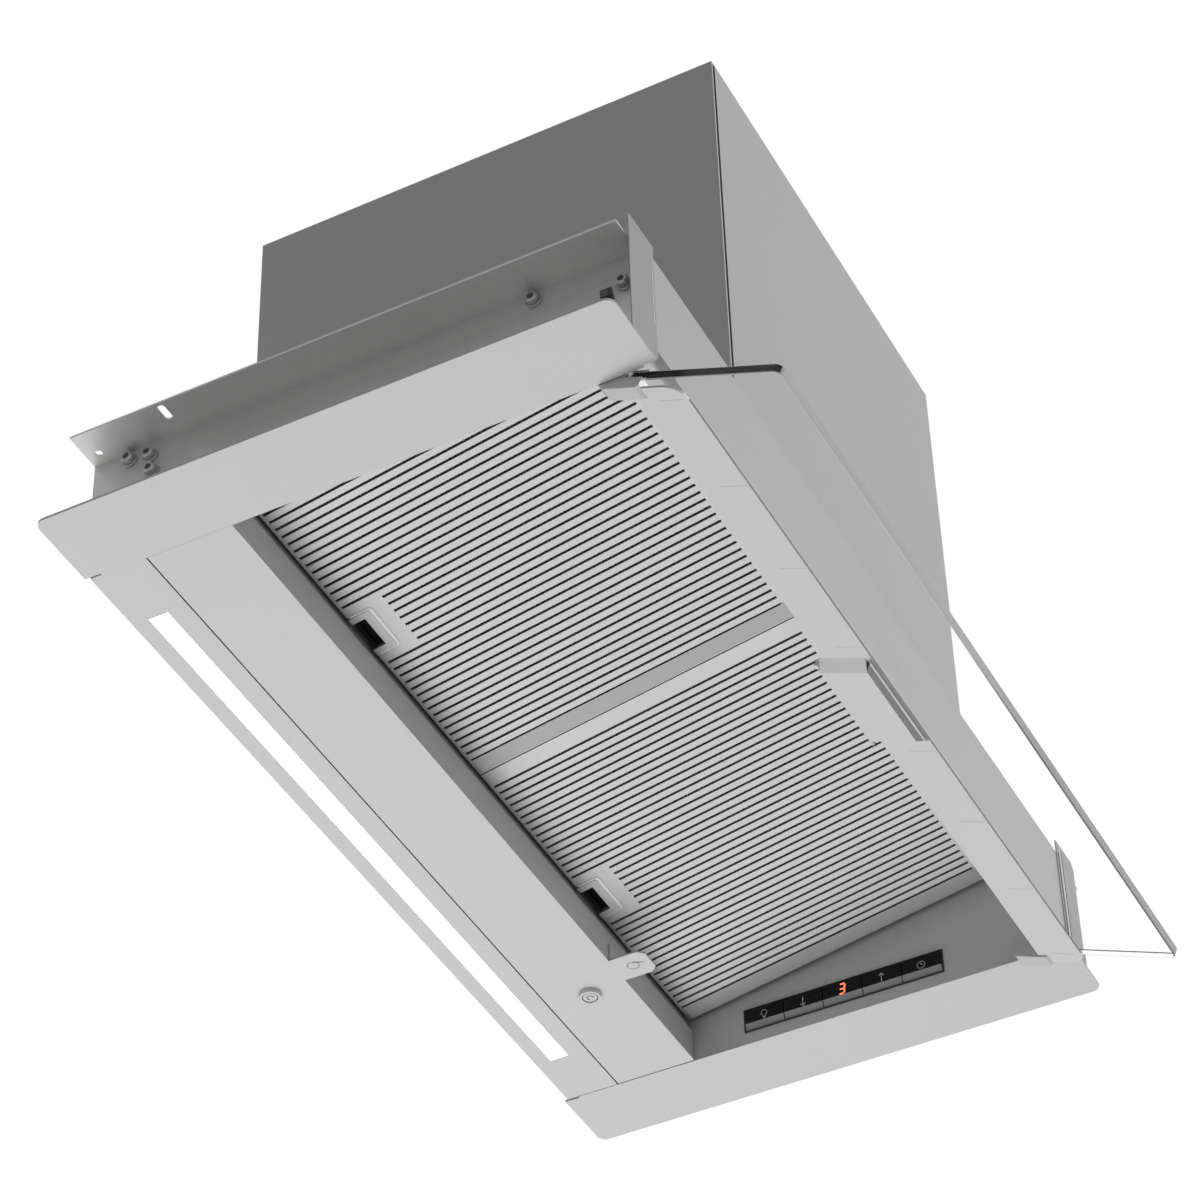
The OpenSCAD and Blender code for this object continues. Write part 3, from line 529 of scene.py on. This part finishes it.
class HOOD_OT_fasteners(Operator):
    """Give the flap pin, the fan shaft and the side clips their finish"""
    bl_idname = "hood.fasteners"
    bl_label = "Bolts and clips"

    def execute(self, context):
        bolts = sheet_metal("bolt steel", (0.62, 0.62, 0.63), 0.85, 0.28, (1, 1, 1), depth=0.06, bump=0.02)
        clips = sheet_metal("clip steel", (0.05, 0.05, 0.052), 0.5, 0.35, EVEN_CLOUD, depth=0.1, bump=0.05)
        finish_nodes(["flap_pin", "fan_shaft"], bolts, 0.00025)
        finish_nodes(["side_clips"], clips, 0.0002)
        return {"FINISHED"}


class HOOD_OT_bolt_heads(Operator):
    """Turn the rails' bolts with washers, rounded heads and hexagon sockets"""
    bl_idname = "hood.bolt_heads"
    bl_label = "Bolt heads"

    def execute(self, context):
        # The bolt heads take painted shade where other faces stand close
        steel = sheet_metal("bolt head steel", (0.5, 0.5, 0.5), 0.35, 0.35, EVEN_CLOUD,
                            depth=0.06, bump=0.02, corners=0.6, reach=0.002)
        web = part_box("mounting_rail_left")[1][0] - RAIL_SHEET

        def outline(r, hexagon):
            """Points of a circle, or of a hexagon with its corners on that circle."""
            points = []
            for i in range(BOLT_SIDES):
                a = math.radians(360 // BOLT_SIDES * i)
                from_flat = (a + math.pi / 6) % (math.pi / 3) - math.pi / 6
                flat = math.cos(math.radians(30)) / math.cos(from_flat)
                q = r * (flat if hexagon else 1)
                points.append((q * math.cos(a), q * math.sin(a)))
            return points

        sections = [(out, outline(r, False)) for out, r in BOLT_ROUND]
        sections += [(out, outline(r, True)) for out, r in BOLT_SOCKET]

        def make(bm):
            for side in (1, -1):
                for y, z in BOLT_PLACES:
                    skin(bm, [[bm.verts.new((side * (web - out), PLAN_Y + y + u, UNDERSIDE + z + v))
                               for u, v in points] for out, points in sections])

        heads = add_piece("bolt_heads", make, steel, "hood")
        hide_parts("rail_bolts")
        return {"FINISHED"}


class HOOD_OT_panels(Operator):
    """Give the trim plates, the panels and the front their satin steel"""
    bl_idname = "hood.panels"
    bl_label = "Trim plates and panels"

    def execute(self, context):
        _, colours = settings()
        # The trim plates and panels take painted shade where other faces stand close
        satin = sheet_metal("satin steel", colours.satin, 0.12, 0.44, LINES_ALONG, depth=0.014, bump=0.03,
                            corners=0.3, reach=0.006)
        # Painted shade: the front panel takes a copy of the housing steel darkened to 0.92, and painted
        # shade where other faces stand close
        darker = [c * 0.92 for c in colours.housing]
        front = sheet_metal("front steel", darker, 0.1, 0.42, (4, 500, 500), depth=0.02, bump=0.03,
                            corners=0.65, reach=0.022)
        finish_nodes(["trim_left", "trim_right", "light_panel", "tray_panel", "pull_tab"], satin)
        finish_nodes(["front_panel"], front, 0.0002)
        brackets = sheet_metal("bracket steel", colours.brackets, 0.15, 0.42, (500, 500, 4),
                               depth=0.02, bump=0.03)
        finish_nodes(["front_bracket_left", "front_bracket_right"], brackets, 0.0002)
        finish_nodes(["tray_lock"], satin, 0.0004)
        return {"FINISHED"}


class HOOD_OT_folds(Operator):
    """Paint highlights and shade along the folded edges of the brackets, the left rail and the housing"""
    bl_idname = "hood.folds"
    bl_label = "Folded edges"

    def execute(self, context):
        light = sheet_metal("fold highlight", (0.78, 0.78, 0.78), 0.1, 0.4, EVEN_CLOUD,
                            depth=0.03, bump=0.02)
        dark = moulded("fold shade", (0.008, 0.008, 0.008), 0.6, shine=0.05)
        front_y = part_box("front_bracket_left")[0][1]
        (_, house_y, foot), (_, _, top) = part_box("housing_front")
        house_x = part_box("housing_left")[0][0]

        def bar(along, back, up):
            """Maker of a bar between two places along the hood, two back and two up."""
            def make(bm):
                extrude_outline(bm, rectangle(along[0], up[0], along[1], up[1]),
                                lambda u, v, h: (u, h, v), *back)
            return make

        # Light bars are painted highlights along the brackets' fold and lip; dark bars are painted shade in
        # their grooves
        # Name, left end, width, foot and head above the underside, and material
        for name, x, width, low, high, material in (
                ("left_bracket_fold_highlight", -0.2542, 0.0007, 0.024, 0.069, light),
                ("right_bracket_hem_shade", 0.2536, 0.0010, 0.003, 0.0665, dark),
                ("right_bracket_lip_highlight", 0.2552, 0.0026, 0.003, 0.070, light),
                ("right_bracket_line_shade", 0.2584, 0.0006, 0.003, 0.071, dark)):
            make = bar((x, x + width), (front_y - 0.00012, front_y + 0.0001),
                       (UNDERSIDE + low, UNDERSIDE + high))
            add_piece(name, make, material, "hood")

        # A dark bar as painted shadow in the seam at the housing's corner, and a light bar as painted
        # highlight on the side sheet's edge
        # Name, from and to along the hood, depth into the housing, and material
        for name, start, end, depth, material in (
                ("housing_corner_shade", 0.0012, 0.0036, 0.0004, dark),
                ("housing_corner_highlight", 0.0001, 0.0010, 0.0002, light)):
            make = bar((house_x + start, house_x + end), (house_y - 0.0001, house_y + depth), (foot, top))
            add_piece(name, make, material, "hood")

        rail_low, rail_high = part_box("mounting_rail_left")
        x = rail_high[0] - RAIL_SHEET
        bend = rail_high[2] - 0.0013

        def line(from_y, from_z, to_y, to_z, width):
            def make(bm):
                stroke(bm, [(from_y, from_z), (to_y, to_z)], width,
                       lambda u, v, h: (x - h, u, v), -0.0001, 0.0001)
            return make

        # Painted highlights along the rail's bend and along a crease in its web
        rail_bend_highlight = line(rail_low[1] + 0.0005, bend, rail_high[1] - 0.0005, bend, 0.0010)
        crease = line(PLAN_Y - 0.058, UNDERSIDE + 0.0497, PLAN_Y - 0.1375, UNDERSIDE + 0.0527, 0.0004)
        add_piece("rail_bend_highlight", rail_bend_highlight, light, "hood")
        add_piece("rail_crease_highlight", crease, light, "hood")
        return {"FINISHED"}


class HOOD_OT_lock_face(Operator):
    """Set the tray lock's face with its small ring"""
    bl_idname = "hood.lock_face"
    bl_label = "Face of the tray lock"

    def execute(self, context):
        _, colours = settings()
        satin = sheet_metal("lock face", colours.satin, 0.2, 0.4, EVEN_CLOUD, depth=0.02, bump=0.02)
        ink = moulded("lock ring", (0.16, 0.16, 0.165), 0.5)
        low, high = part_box("tray_lock")
        r = (high[0] - low[0]) / 2
        cx, cy = low[0] + r, low[1] + r

        def place(u, v, h):
            return cx + u, cy + v, low[2] + h

        def disc(bm):
            extrude_outline(bm, arc(r - 0.0022, 0, 345, 15), place, 0.0003, 0.0010)

        def mark(bm):
            stroke(bm, arc(0.0017, 30, 300, 15), 0.0005, place, 0.00022, 0.0004)
            stroke(bm, arc(r - 0.0024, 0, 345, 15), 0.0004, place, 0.00022, 0.0004, True)

        add_piece("lock_disc", disc, satin, "lock")
        add_piece("lock_marks", mark, ink, "lock")
        return {"FINISHED"}


class HOOD_OT_tab_mark(Operator):
    """Engrave the drop on the pull tab"""
    bl_idname = "hood.tab_mark"
    bl_label = "Mark on the pull tab"

    def execute(self, context):
        sizes, _ = settings()
        low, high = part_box("pull_tab")
        cx = (low[0] + high[0]) / 2
        cy = low[1] + 0.0105
        z = low[2]
        ink = moulded("tab mark", (0.16, 0.16, 0.165), 0.6)

        def make(bm):
            r = 0.0033
            drop = [(0, r * 2.1)] + arc(r, 200, 520)[::-1]
            stroke(bm, drop, sizes.icon_line, lambda u, v, h: (cx + u, cy - v, z - h),
                   -0.0001, 0.00005, True)

        add_piece("pull_tab_mark", make, ink, "tray")
        return {"FINISHED"}


class HOOD_OT_light(Operator):
    """Light the diffuser and dress what lies behind it"""
    bl_idname = "hood.light"
    bl_label = "Light"

    def execute(self, context):
        finish_nodes(["led_diffuser"], glowing("lit diffuser", (1.0, 1.0, 0.99), 1.6), 0)
        finish_nodes(["led_channel"], sheet_metal("channel aluminium", (0.6, 0.6, 0.61), 0.8, 0.35), 0.0002)
        finish_nodes(["led_board", "control_board"], moulded("circuit board", (0.02, 0.11, 0.05), 0.5), 0)
        finish_nodes(["led_driver", "control_box"], moulded("white plastic", (0.7, 0.7, 0.69), 0.5), 0.0006)
        return {"FINISHED"}


class HOOD_OT_filters(Operator):
    """Dress the slotted cassettes, their mesh and their latches"""
    bl_idname = "hood.filters"
    bl_label = "Filters"

    def execute(self, context):
        _, colours = settings()
        # The filter faces take strong painted shade where other faces stand close, deepest by the tray's
        # lip
        face = sheet_metal("filter aluminium", colours.filters, 0.2, 0.4, LINES_BACK, depth=0.03, bump=0.04,
                           corners=0.95, reach=0.017)
        black = moulded("latch plastic", [c * 0.3 for c in colours.plastic], 0.7, shine=0.1)
        finish_nodes(["filter_left", "filter_right"], face, 0.0002)
        finish_nodes(["filter_mesh_left", "filter_mesh_right"], mesh_layers("filter mesh", colours.mesh), 0)
        finish_nodes(["latch_left", "latch_right"], black, 0.0003)
        return {"FINISHED"}


class HOOD_OT_latch_surrounds(Operator):
    """Frame the latch openings with pale plates and fold the cassettes' side hems, darkened as painted
    shade
    """
    bl_idname = "hood.latch_surrounds"
    bl_label = "Latch surrounds and hems"

    def execute(self, context):
        _, colours = settings()
        pale = moulded("latch surround", colours.surround, 0.4, grain=900, depth=0.02, bump=0.03, shine=1.0)
        # Painted shade: the hems take a copy of the filter aluminium darkened to 0.66
        shaded = [c * 0.66 for c in colours.filters]
        hem = sheet_metal("filter hem", shaded, 0.2, 0.4, LINES_BACK, depth=0.03, bump=0.04)
        # Half widths of the surround and of its window, and how far back each of them ends
        half, window_half = 0.0160, 0.0110
        near, far, window_far = 0.0014, 0.0138, 0.0076
        for side, mid in (("left", -FILTER_MID), ("right", FILTER_MID)):

            def fold(bm):
                edge = mid + 0.1246
                extrude_outline(bm, rectangle(edge - 0.0116, 0.002, edge, 0.1885), filter_point,
                                -0.0003, 0.00004)

            def surround(bm):
                outer = rounded_rectangle(mid - half, near, mid + half, far, 0.0024)
                corners = [q for q in outer if q[1] > 0.005]
                border = [(mid + half, near), *corners, (mid - half, near)]
                window = [(mid - window_half, near), (mid - window_half, window_far),
                          (mid + window_half, window_far), (mid + window_half, near)]
                extrude_outline(bm, border + window, filter_point, -0.0004, 0.00004)

            for name, make, material, width in (
                    ("filter_hem_", fold, hem, 0.0001), ("latch_surround_", surround, pale, 0.00015)):
                piece = add_piece(name + side, make, material, side + "_filter")
                rounding(piece, width, 1)
        return {"FINISHED"}


class HOOD_OT_keys(Operator):
    """Dress the keys and their bezel"""
    bl_idname = "hood.keys"
    bl_label = "Keys"

    def execute(self, context):
        _, colours = settings()
        gloss = key_gloss("key gloss", colours.keys, colours.key_bevel_reflection)
        finish_nodes(["key_light", "key_slower", "key_power", "key_faster", "key_timer"], gloss, 0.00025)
        finish_nodes(["control_bezel"], moulded("bezel plastic", colours.plastic, 0.45), 0.0001)
        return {"FINISHED"}


class HOOD_OT_key_signs(Operator):
    """Print the signs on the keys and light the figure"""
    bl_idname = "hood.key_signs"
    bl_label = "Signs on the keys"

    def execute(self, context):
        sizes, colours = settings()
        ink = moulded("sign ink", (0.62, 0.64, 0.64), 0.5)
        glow = glowing("display figure", colours.digit, 1.4)
        size = sizes.icon_size
        line = sizes.icon_line

        def centre(node):
            low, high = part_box(node)
            return low[0], (low[1] + high[1]) / 2, UNDERSIDE + KEY_RISE

        def signs(node):
            h = size / 2
            arrow = [[(0, -h), (0, h)], [(-h * 0.5, h * 0.4), (0, h), (h * 0.5, h * 0.4)]]
            if node == "key_light":
                bulb = arc(h * 0.62, -60, 240, cv=h * 0.3)
                neck = [(-h * 0.3, -h * 0.3), (-h * 0.25, -h * 0.7),
                        (h * 0.25, -h * 0.7), (h * 0.3, -h * 0.3)]
                return [bulb, neck, [(-h * 0.16, -h), (h * 0.16, -h)]]
            if node == "key_slower":
                return [[(u, -v) for u, v in run] for run in arrow]
            if node == "key_faster":
                return arrow
            return [arc(h * 0.8), [(0, h * 0.5), (0, 0), (h * 0.4, 0)]]

        for node, body in (("key_light", "light_key"), ("key_slower", "slower_key"),
                           ("key_faster", "faster_key"), ("key_timer", "timer_key")):
            x, y, z = centre(node)

            def make(bm):
                for run in signs(node):
                    stroke(bm, run, line, lambda u, v, h: (x + h, y - u, z + v), -0.00004, 0.0002)

            add_piece(node + "_sign", make, ink, body)

        x, y, z = centre("key_power")

        def figure(bm):
            w, h, t = size * 0.56, size * 0.56, size * 0.17
            bars = [((-w / 2, h), (w / 2, h)), ((-w / 2, 0), (w / 2, 0)), ((-w / 2, -h), (w / 2, -h)),
                    ((w / 2, h), (w / 2, 0)), ((w / 2, 0), (w / 2, -h))]
            for a, b in bars:
                a, b = Vector(a), Vector(b)
                d = (b - a).normalized()
                gap = d * t * 0.12
                tip = d * t * 0.5
                s = Vector((-d.y, d.x)) * t / 2
                a, b = a + gap, b - gap
                shape = [a, a + tip + s, b - tip + s, b, b - tip - s, a + tip - s]
                extrude_outline(bm, [tuple(q) for q in shape],
                                lambda u, v, k: (x + k, y - u - v * 0.12, z + 0.0004 + v), -0.00004, 0.0002)

        add_piece("display_figure", figure, glow, "power_key")
        return {"FINISHED"}


class HOOD_OT_visor_glass(Operator):
    """Make the visor's pane with its edges painted opaque"""
    bl_idname = "hood.visor_glass"
    bl_label = "Visor glass"

    def execute(self, context):
        sizes, colours = settings()

        def make(bm):
            outline = rounded_rectangle(-PANE_END, PANE_INNER, PANE_END, PANE_OUTER, 0.004)
            extrude_outline(bm, outline, visor_point, -PANE_FACE, PANE_FACE)
            # The long edges take the second material and the end at the left the third
            end_zone = PANE_END - 0.0015
            for face in bm.faces:
                middle = face.calc_center_median()
                if len(face.verts) == 4 and middle.x < end_zone:
                    face.material_index = 2 if middle.x < -end_zone else 1

        glass = clear_glass("visor glass", colours.glass)
        pane = add_piece("visor_pane", make, glass, "visor")
        # Painted reflection and refraction: the edges are opaque, the long edges pale and dimmer along the
        # hood, the left end dark, the arrises darker still
        edge = colours.glass_edge
        dim, dark = [c * 0.85 for c in edge], [c * 0.25 for c in edge]
        for material in (painted_glass_edge("glass edge", edge, dim),
                         painted_glass_edge("glass end", (0.014, 0.015, 0.016), (0.1, 0.1, 0.1), 0.6),
                         painted_glass_edge("glass arris", dim, dark)):
            pane.data.materials.append(material)
        rounding(pane, sizes.glass_round, 2).material = 3
        pane.visible_shadow = False
        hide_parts("visor_glass")
        return {"FINISHED"}


class HOOD_OT_visor_carrier(Operator):
    """Dress the carrier strip, the grip, the ears and the hinge"""
    bl_idname = "hood.visor_carrier"
    bl_label = "Visor carrier"

    def execute(self, context):
        sizes, colours = settings()
        satin = sheet_metal("carrier steel", colours.satin, 0.15, 0.42, LINES_ALONG, depth=0.014, bump=0.03)
        grip = sheet_metal("grip steel", colours.satin, 0.2, 0.4, LINES_ALONG, depth=0.014, bump=0.03)
        ear = sheet_metal("ear metal", colours.casing, 0.45, 0.36, EVEN_CLOUD, depth=0.05, bump=0.04)
        finish_nodes(["visor_strip"], satin, 0.0004)
        finish_nodes(["visor_grip"], grip, sizes.grip_round)
        finish_nodes(["visor_ears", "visor_pins"], ear, 0.0003)
        finish_nodes(["hinge_blocks"], moulded("hinge plastic", colours.plastic, 0.5), 0.0003)
        return {"FINISHED"}


class HOOD_OT_hinge_trim(Operator):
    """Clamp the glass beside its hinges and cover the strip's outer side with a dark sheet of painted shade
    """
    bl_idname = "hood.hinge_trim"
    bl_label = "Hinge clamps"

    def execute(self, context):
        chrome = sheet_metal("clamp chrome", (0.85, 0.85, 0.86), 0.9, 0.15, EVEN_CLOUD,
                             depth=0.03, bump=0.02)
        # Painted shade: a dark grey sheet over the strip's outer side, where it stands in shade
        side_shade = moulded("strip side shade", (0.16, 0.16, 0.16), 0.6)
        grips, outside = PANE_FACE - 0.0004, PANE_FACE + 0.0002

        def clamps(bm):
            for side in (1, -1):
                x0, x1 = sorted((side * (PANE_END + 0.0001), side * (PANE_END + 0.0007)))
                for up0, up1 in ((grips, outside), (-outside, -grips)):
                    extrude_outline(bm, rectangle(x0, 0.0036, x1, 0.0150), visor_point, up0, up1)
                extrude_outline(bm, rectangle(x0, PANE_INNER, x1, 0.0037), visor_point, -outside, outside)

        def side_shading(bm):
            end = PANE_END - 0.0102
            shape = rectangle(-end, STRIP_EDGE + 0.00001, end, STRIP_EDGE + 0.00009)
            extrude_outline(bm, shape, visor_point, STRIP_LOW + 0.0001, STRIP_LOW + 0.0011)

        add_piece("glass_clamps", clamps, chrome, "visor")
        add_piece("strip_side_shade", side_shading, side_shade, "visor")
        return {"FINISHED"}


class HOOD_OT_grip_flange(Operator):
    """Close the grip's outer side with a sloping flange, dark as painted shade, and fold its inner corners
    """
    bl_idname = "hood.grip_flange"
    bl_label = "Grip flange"

    def execute(self, context):
        _, colours = settings()
        # Painted shade: the flange is dark grey for the shade inside the grip's hollow
        shade = sheet_metal("grip flange shade", (0.2, 0.2, 0.2), 0.2, 0.45, (6, 700, 700), depth=0.05, bump=0.03)
        light = sheet_metal("grip lip", colours.satin, 0.1, 0.4, (6, 700, 700), depth=0.03, bump=0.03)
        low = STRIP_LOW - 0.0049

        def sloped(end, lower, upper, flare, thick=0.0003):
            """A flat bar between two lines (out, up) along the visor, wider by flare at the second."""
            corners = [(-end, *lower), (end, *lower), (end + flare, *upper), (-end - flare, *upper)]

            def make(bm):
                skin(bm, [[bm.verts.new(visor_point(x, out - back, up)) for x, out, up in corners]
                          for back in (0, thick)])
            return make

        flange = sloped(0.0299, (0.0306, low + 0.0001), (0.0341, STRIP_LOW - 0.0001), 0.0058)
        lip = sloped(0.0330, (0.0328, low + 0.0029), (0.0333, low + 0.0035), 0.0006, 0.0001)
        add_piece("grip_flange", flange, shade, "visor")
        add_piece("grip_lip", lip, light, "visor")

        def tabs(bm):
            for x0, x1 in ((-0.0352, -0.0318), (0.0318, 0.0352)):
                extrude_outline(bm, rectangle(x0, 0.0022, x1, 0.0041), visor_point,
                                STRIP_LOW - 0.0038, STRIP_LOW - 0.0002)

        rounding(add_piece("grip_tabs", tabs, light, "visor"), 0.0003, 2)
        return {"FINISHED"}


class HOOD_OT_visor_joints(Operator):
    """Scribe the fine joints across the carrier strip"""
    bl_idname = "hood.visor_joints"
    bl_label = "Joints in the carrier strip"

    def execute(self, context):
        dark = moulded("strip joint", (0.33, 0.33, 0.33), 0.5)
        half = 0.00014

        def make(bm):
            for k in range(8):
                x = math.copysign(0.0455 + 0.065 * (k // 2), k % 2 - 0.5)
                outer = 0.0335 if k < 6 else 0.0315
                extrude_outline(bm, rectangle(x - half, 0.018, x + half, outer), visor_point,
                                STRIP_LOW - 0.00003, STRIP_LOW + 0.0002)

        add_piece("strip_joints", make, dark, "visor")
        return {"FINISHED"}


class HOOD_OT_housing(Operator):
    """Dress the box round the blower"""
    bl_idname = "hood.housing"
    bl_label = "Housing"

    def execute(self, context):
        _, colours = settings()
        sheet = sheet_metal("housing steel", colours.housing, 0.05, 0.5, (3, 3, 3), depth=0.02, bump=0.02)
        finish_nodes(["housing_front", "housing_rear", "housing_left", "housing_right",
                      "housing_top"], sheet)
        return {"FINISHED"}


class HOOD_OT_outlet(Operator):
    """Dress the duct collar and its flaps"""
    bl_idname = "hood.outlet"
    bl_label = "Duct collar and flaps"

    def execute(self, context):
        collar = moulded("collar plastic", (0.6, 0.6, 0.59), 0.5)
        finish_nodes(["outlet_collar"], collar, 0.0004)
        flap = moulded("flap plastic", (0.08, 0.08, 0.085), 0.45)
        finish_nodes(["flap_left", "flap_right"], flap, 0.0002)
        return {"FINISHED"}


class HOOD_OT_blower(Operator):
    """Dress the scroll, the wheel and the motor"""
    bl_idname = "hood.blower"
    bl_label = "Blower"

    def execute(self, context):
        finish_nodes(["blower_scroll"], moulded("scroll plastic", (0.1, 0.105, 0.115), 0.5), 0)
        finish_nodes(["fan_wheel"], moulded("wheel plastic", (0.06, 0.065, 0.07), 0.45), 0)
        paint = sheet_metal("motor paint", (0.12, 0.12, 0.125), 0.3, 0.4, EVEN_CLOUD)
        finish_nodes(["fan_motor"], paint, 0.0006)
        return {"FINISHED"}


# Stage

class HOOD_OT_stage(Operator):
    """Set the floor, the lamps, the world and the camera"""
    bl_idname = "hood.stage"
    bl_label = "Floor, light and camera"

    def execute(self, context):
        self.floor()
        self.world()
        self.lamps()
        self.camera()
        return {"FINISHED"}

    def floor(self):
        mesh = bpy.data.meshes.new("floor")
        bm = bmesh.new()
        bmesh.ops.create_grid(bm, x_segments=1, y_segments=1, size=FLOOR_HALF)
        bm.to_mesh(mesh)
        bm.free()
        obj = bpy.data.objects.new("floor", mesh)
        obj.location.z = FLOOR_Z
        bpy.context.scene.collection.objects.link(obj)
        m, nodes, links, shader = new_material("pale floor")
        patch = object_noise(nodes, links, (1, 1, 1), 3.0, 3.0)
        links.new(tinted(nodes, links, patch, (0.86, 0.86, 0.85), 0.01), shader.inputs["Base Color"])
        shader.inputs["Roughness"].default_value = 0.8
        seen = self.shown_white(nodes, links, FLOOR_SHARE)
        glow = nodes.new("ShaderNodeEmission")
        glow.inputs["Strength"].default_value = FLOOR_GLOW
        mixed = nodes.new("ShaderNodeMixShader")
        links.new(seen, mixed.inputs[0])
        links.new(shader.outputs[0], mixed.inputs[1])
        links.new(glow.outputs[0], mixed.inputs[2])
        links.new(mixed.outputs[0], nodes["Material Output"].inputs["Surface"])
        mesh.materials.append(m)

    def shown_white(self, nodes, links, most):
        """The given amount where camera, metal or glass show it, and 0 for light on the object."""
        rays = nodes.new("ShaderNodeLightPath")
        total = rays.outputs["Is Camera Ray"]
        for kind in ("Is Glossy Ray", "Is Transmission Ray"):
            either = nodes.new("ShaderNodeMath")
            either.operation = "MAXIMUM"
            links.new(total, either.inputs[0])
            links.new(rays.outputs[kind], either.inputs[1])
            total = either.outputs[0]
        scaled = nodes.new("ShaderNodeMath")
        scaled.operation = "MULTIPLY"
        scaled.inputs[1].default_value = most
        links.new(total, scaled.inputs[0])
        return scaled.outputs[0]

    def world(self):
        """White behind the object, in metal and through glass; a low even fill elsewhere."""
        world = bpy.data.worlds.new("studio")
        world.use_nodes = True
        nodes, links = world.node_tree.nodes, world.node_tree.links
        back = nodes["Background"]
        back.inputs["Color"].default_value = (1, 1, 1, 1)
        level = nodes.new("ShaderNodeMapRange")
        level.inputs["To Min"].default_value = WORLD_FILL
        level.inputs["To Max"].default_value = 1.0
        links.new(self.shown_white(nodes, links, 1.0), level.inputs["Value"])
        links.new(level.outputs["Result"], back.inputs["Strength"])
        bpy.context.scene.world = world

    def lamps(self):
        target = Vector((0, PLAN_Y, UNDERSIDE + 0.1))
        for name, place, side, power in LAMPS:
            data = bpy.data.lights.new(name, "AREA")
            data.size = side
            data.energy = power
            obj = bpy.data.objects.new(name, data)
            obj.location = place
            obj.visible_glossy = False
            obj.rotation_euler = (target - Vector(place)).to_track_quat("-Z", "Y").to_euler()
            bpy.context.scene.collection.objects.link(obj)

    def camera(self):
        """Sets the fitted camera, with its two measured axes made square."""
        data = bpy.data.cameras.new("camera")
        obj = bpy.data.objects.new("camera", data)
        right = Vector(CAMERA_RIGHT).normalized()
        down = Vector(CAMERA_DOWN)
        down = (down - right * down.dot(right)).normalized()
        forward = right.cross(down)
        turn = Matrix((right, -down, -forward)).transposed()
        obj.matrix_world = Matrix.Translation(CAMERA_PLACE) @ turn.to_4x4()
        data.sensor_width = 36
        data.lens = CAMERA_LENS
        data.shift_x, data.shift_y = CAMERA_SHIFT
        data.clip_end = 60
        bpy.context.scene.collection.objects.link(obj)
        bpy.context.scene.camera = obj


PIECES = (
    HOOD_OT_casing, HOOD_OT_fasteners, HOOD_OT_bolt_heads, HOOD_OT_panels, HOOD_OT_folds,
    HOOD_OT_lock_face, HOOD_OT_tab_mark, HOOD_OT_light, HOOD_OT_filters, HOOD_OT_latch_surrounds,
    HOOD_OT_keys, HOOD_OT_key_signs, HOOD_OT_visor_glass, HOOD_OT_visor_carrier, HOOD_OT_hinge_trim,
    HOOD_OT_grip_flange, HOOD_OT_visor_joints, HOOD_OT_housing, HOOD_OT_outlet, HOOD_OT_blower,
    HOOD_OT_stage)


class HOOD_PT_sidebar(Panel):
    """Lists the hood's pieces and settings"""
    bl_idname = "HOOD_PT_sidebar"
    bl_label = "Range Hood"
    bl_space_type = "VIEW_3D"
    bl_region_type = "UI"
    bl_category = "Range Hood"

    def draw(self, context):
        column = self.layout.column()
        for group in (context.scene.hood_sizes, context.scene.hood_colours):
            for name in group.__annotations__:
                column.prop(group, name)
        for piece in PIECES:
            column.operator(piece.bl_idname)


CLASSES = (HoodSizes, HoodColours, *PIECES, HOOD_PT_sidebar)


def register():
    for cls in CLASSES:
        bpy.utils.register_class(cls)
    bpy.types.Scene.hood_sizes = PointerProperty(type=HoodSizes)
    bpy.types.Scene.hood_colours = PointerProperty(type=HoodColours)


def unregister():
    del bpy.types.Scene.hood_colours
    del bpy.types.Scene.hood_sizes
    for cls in reversed(CLASSES):
        bpy.utils.unregister_class(cls)


def main():
    register()
    bpy.context.scene.view_settings.view_transform = "Standard"
    for piece in PIECES:
        group, name = piece.bl_idname.split(".")
        getattr(getattr(bpy.ops, group), name)()


if __name__ == "__main__":
    main()
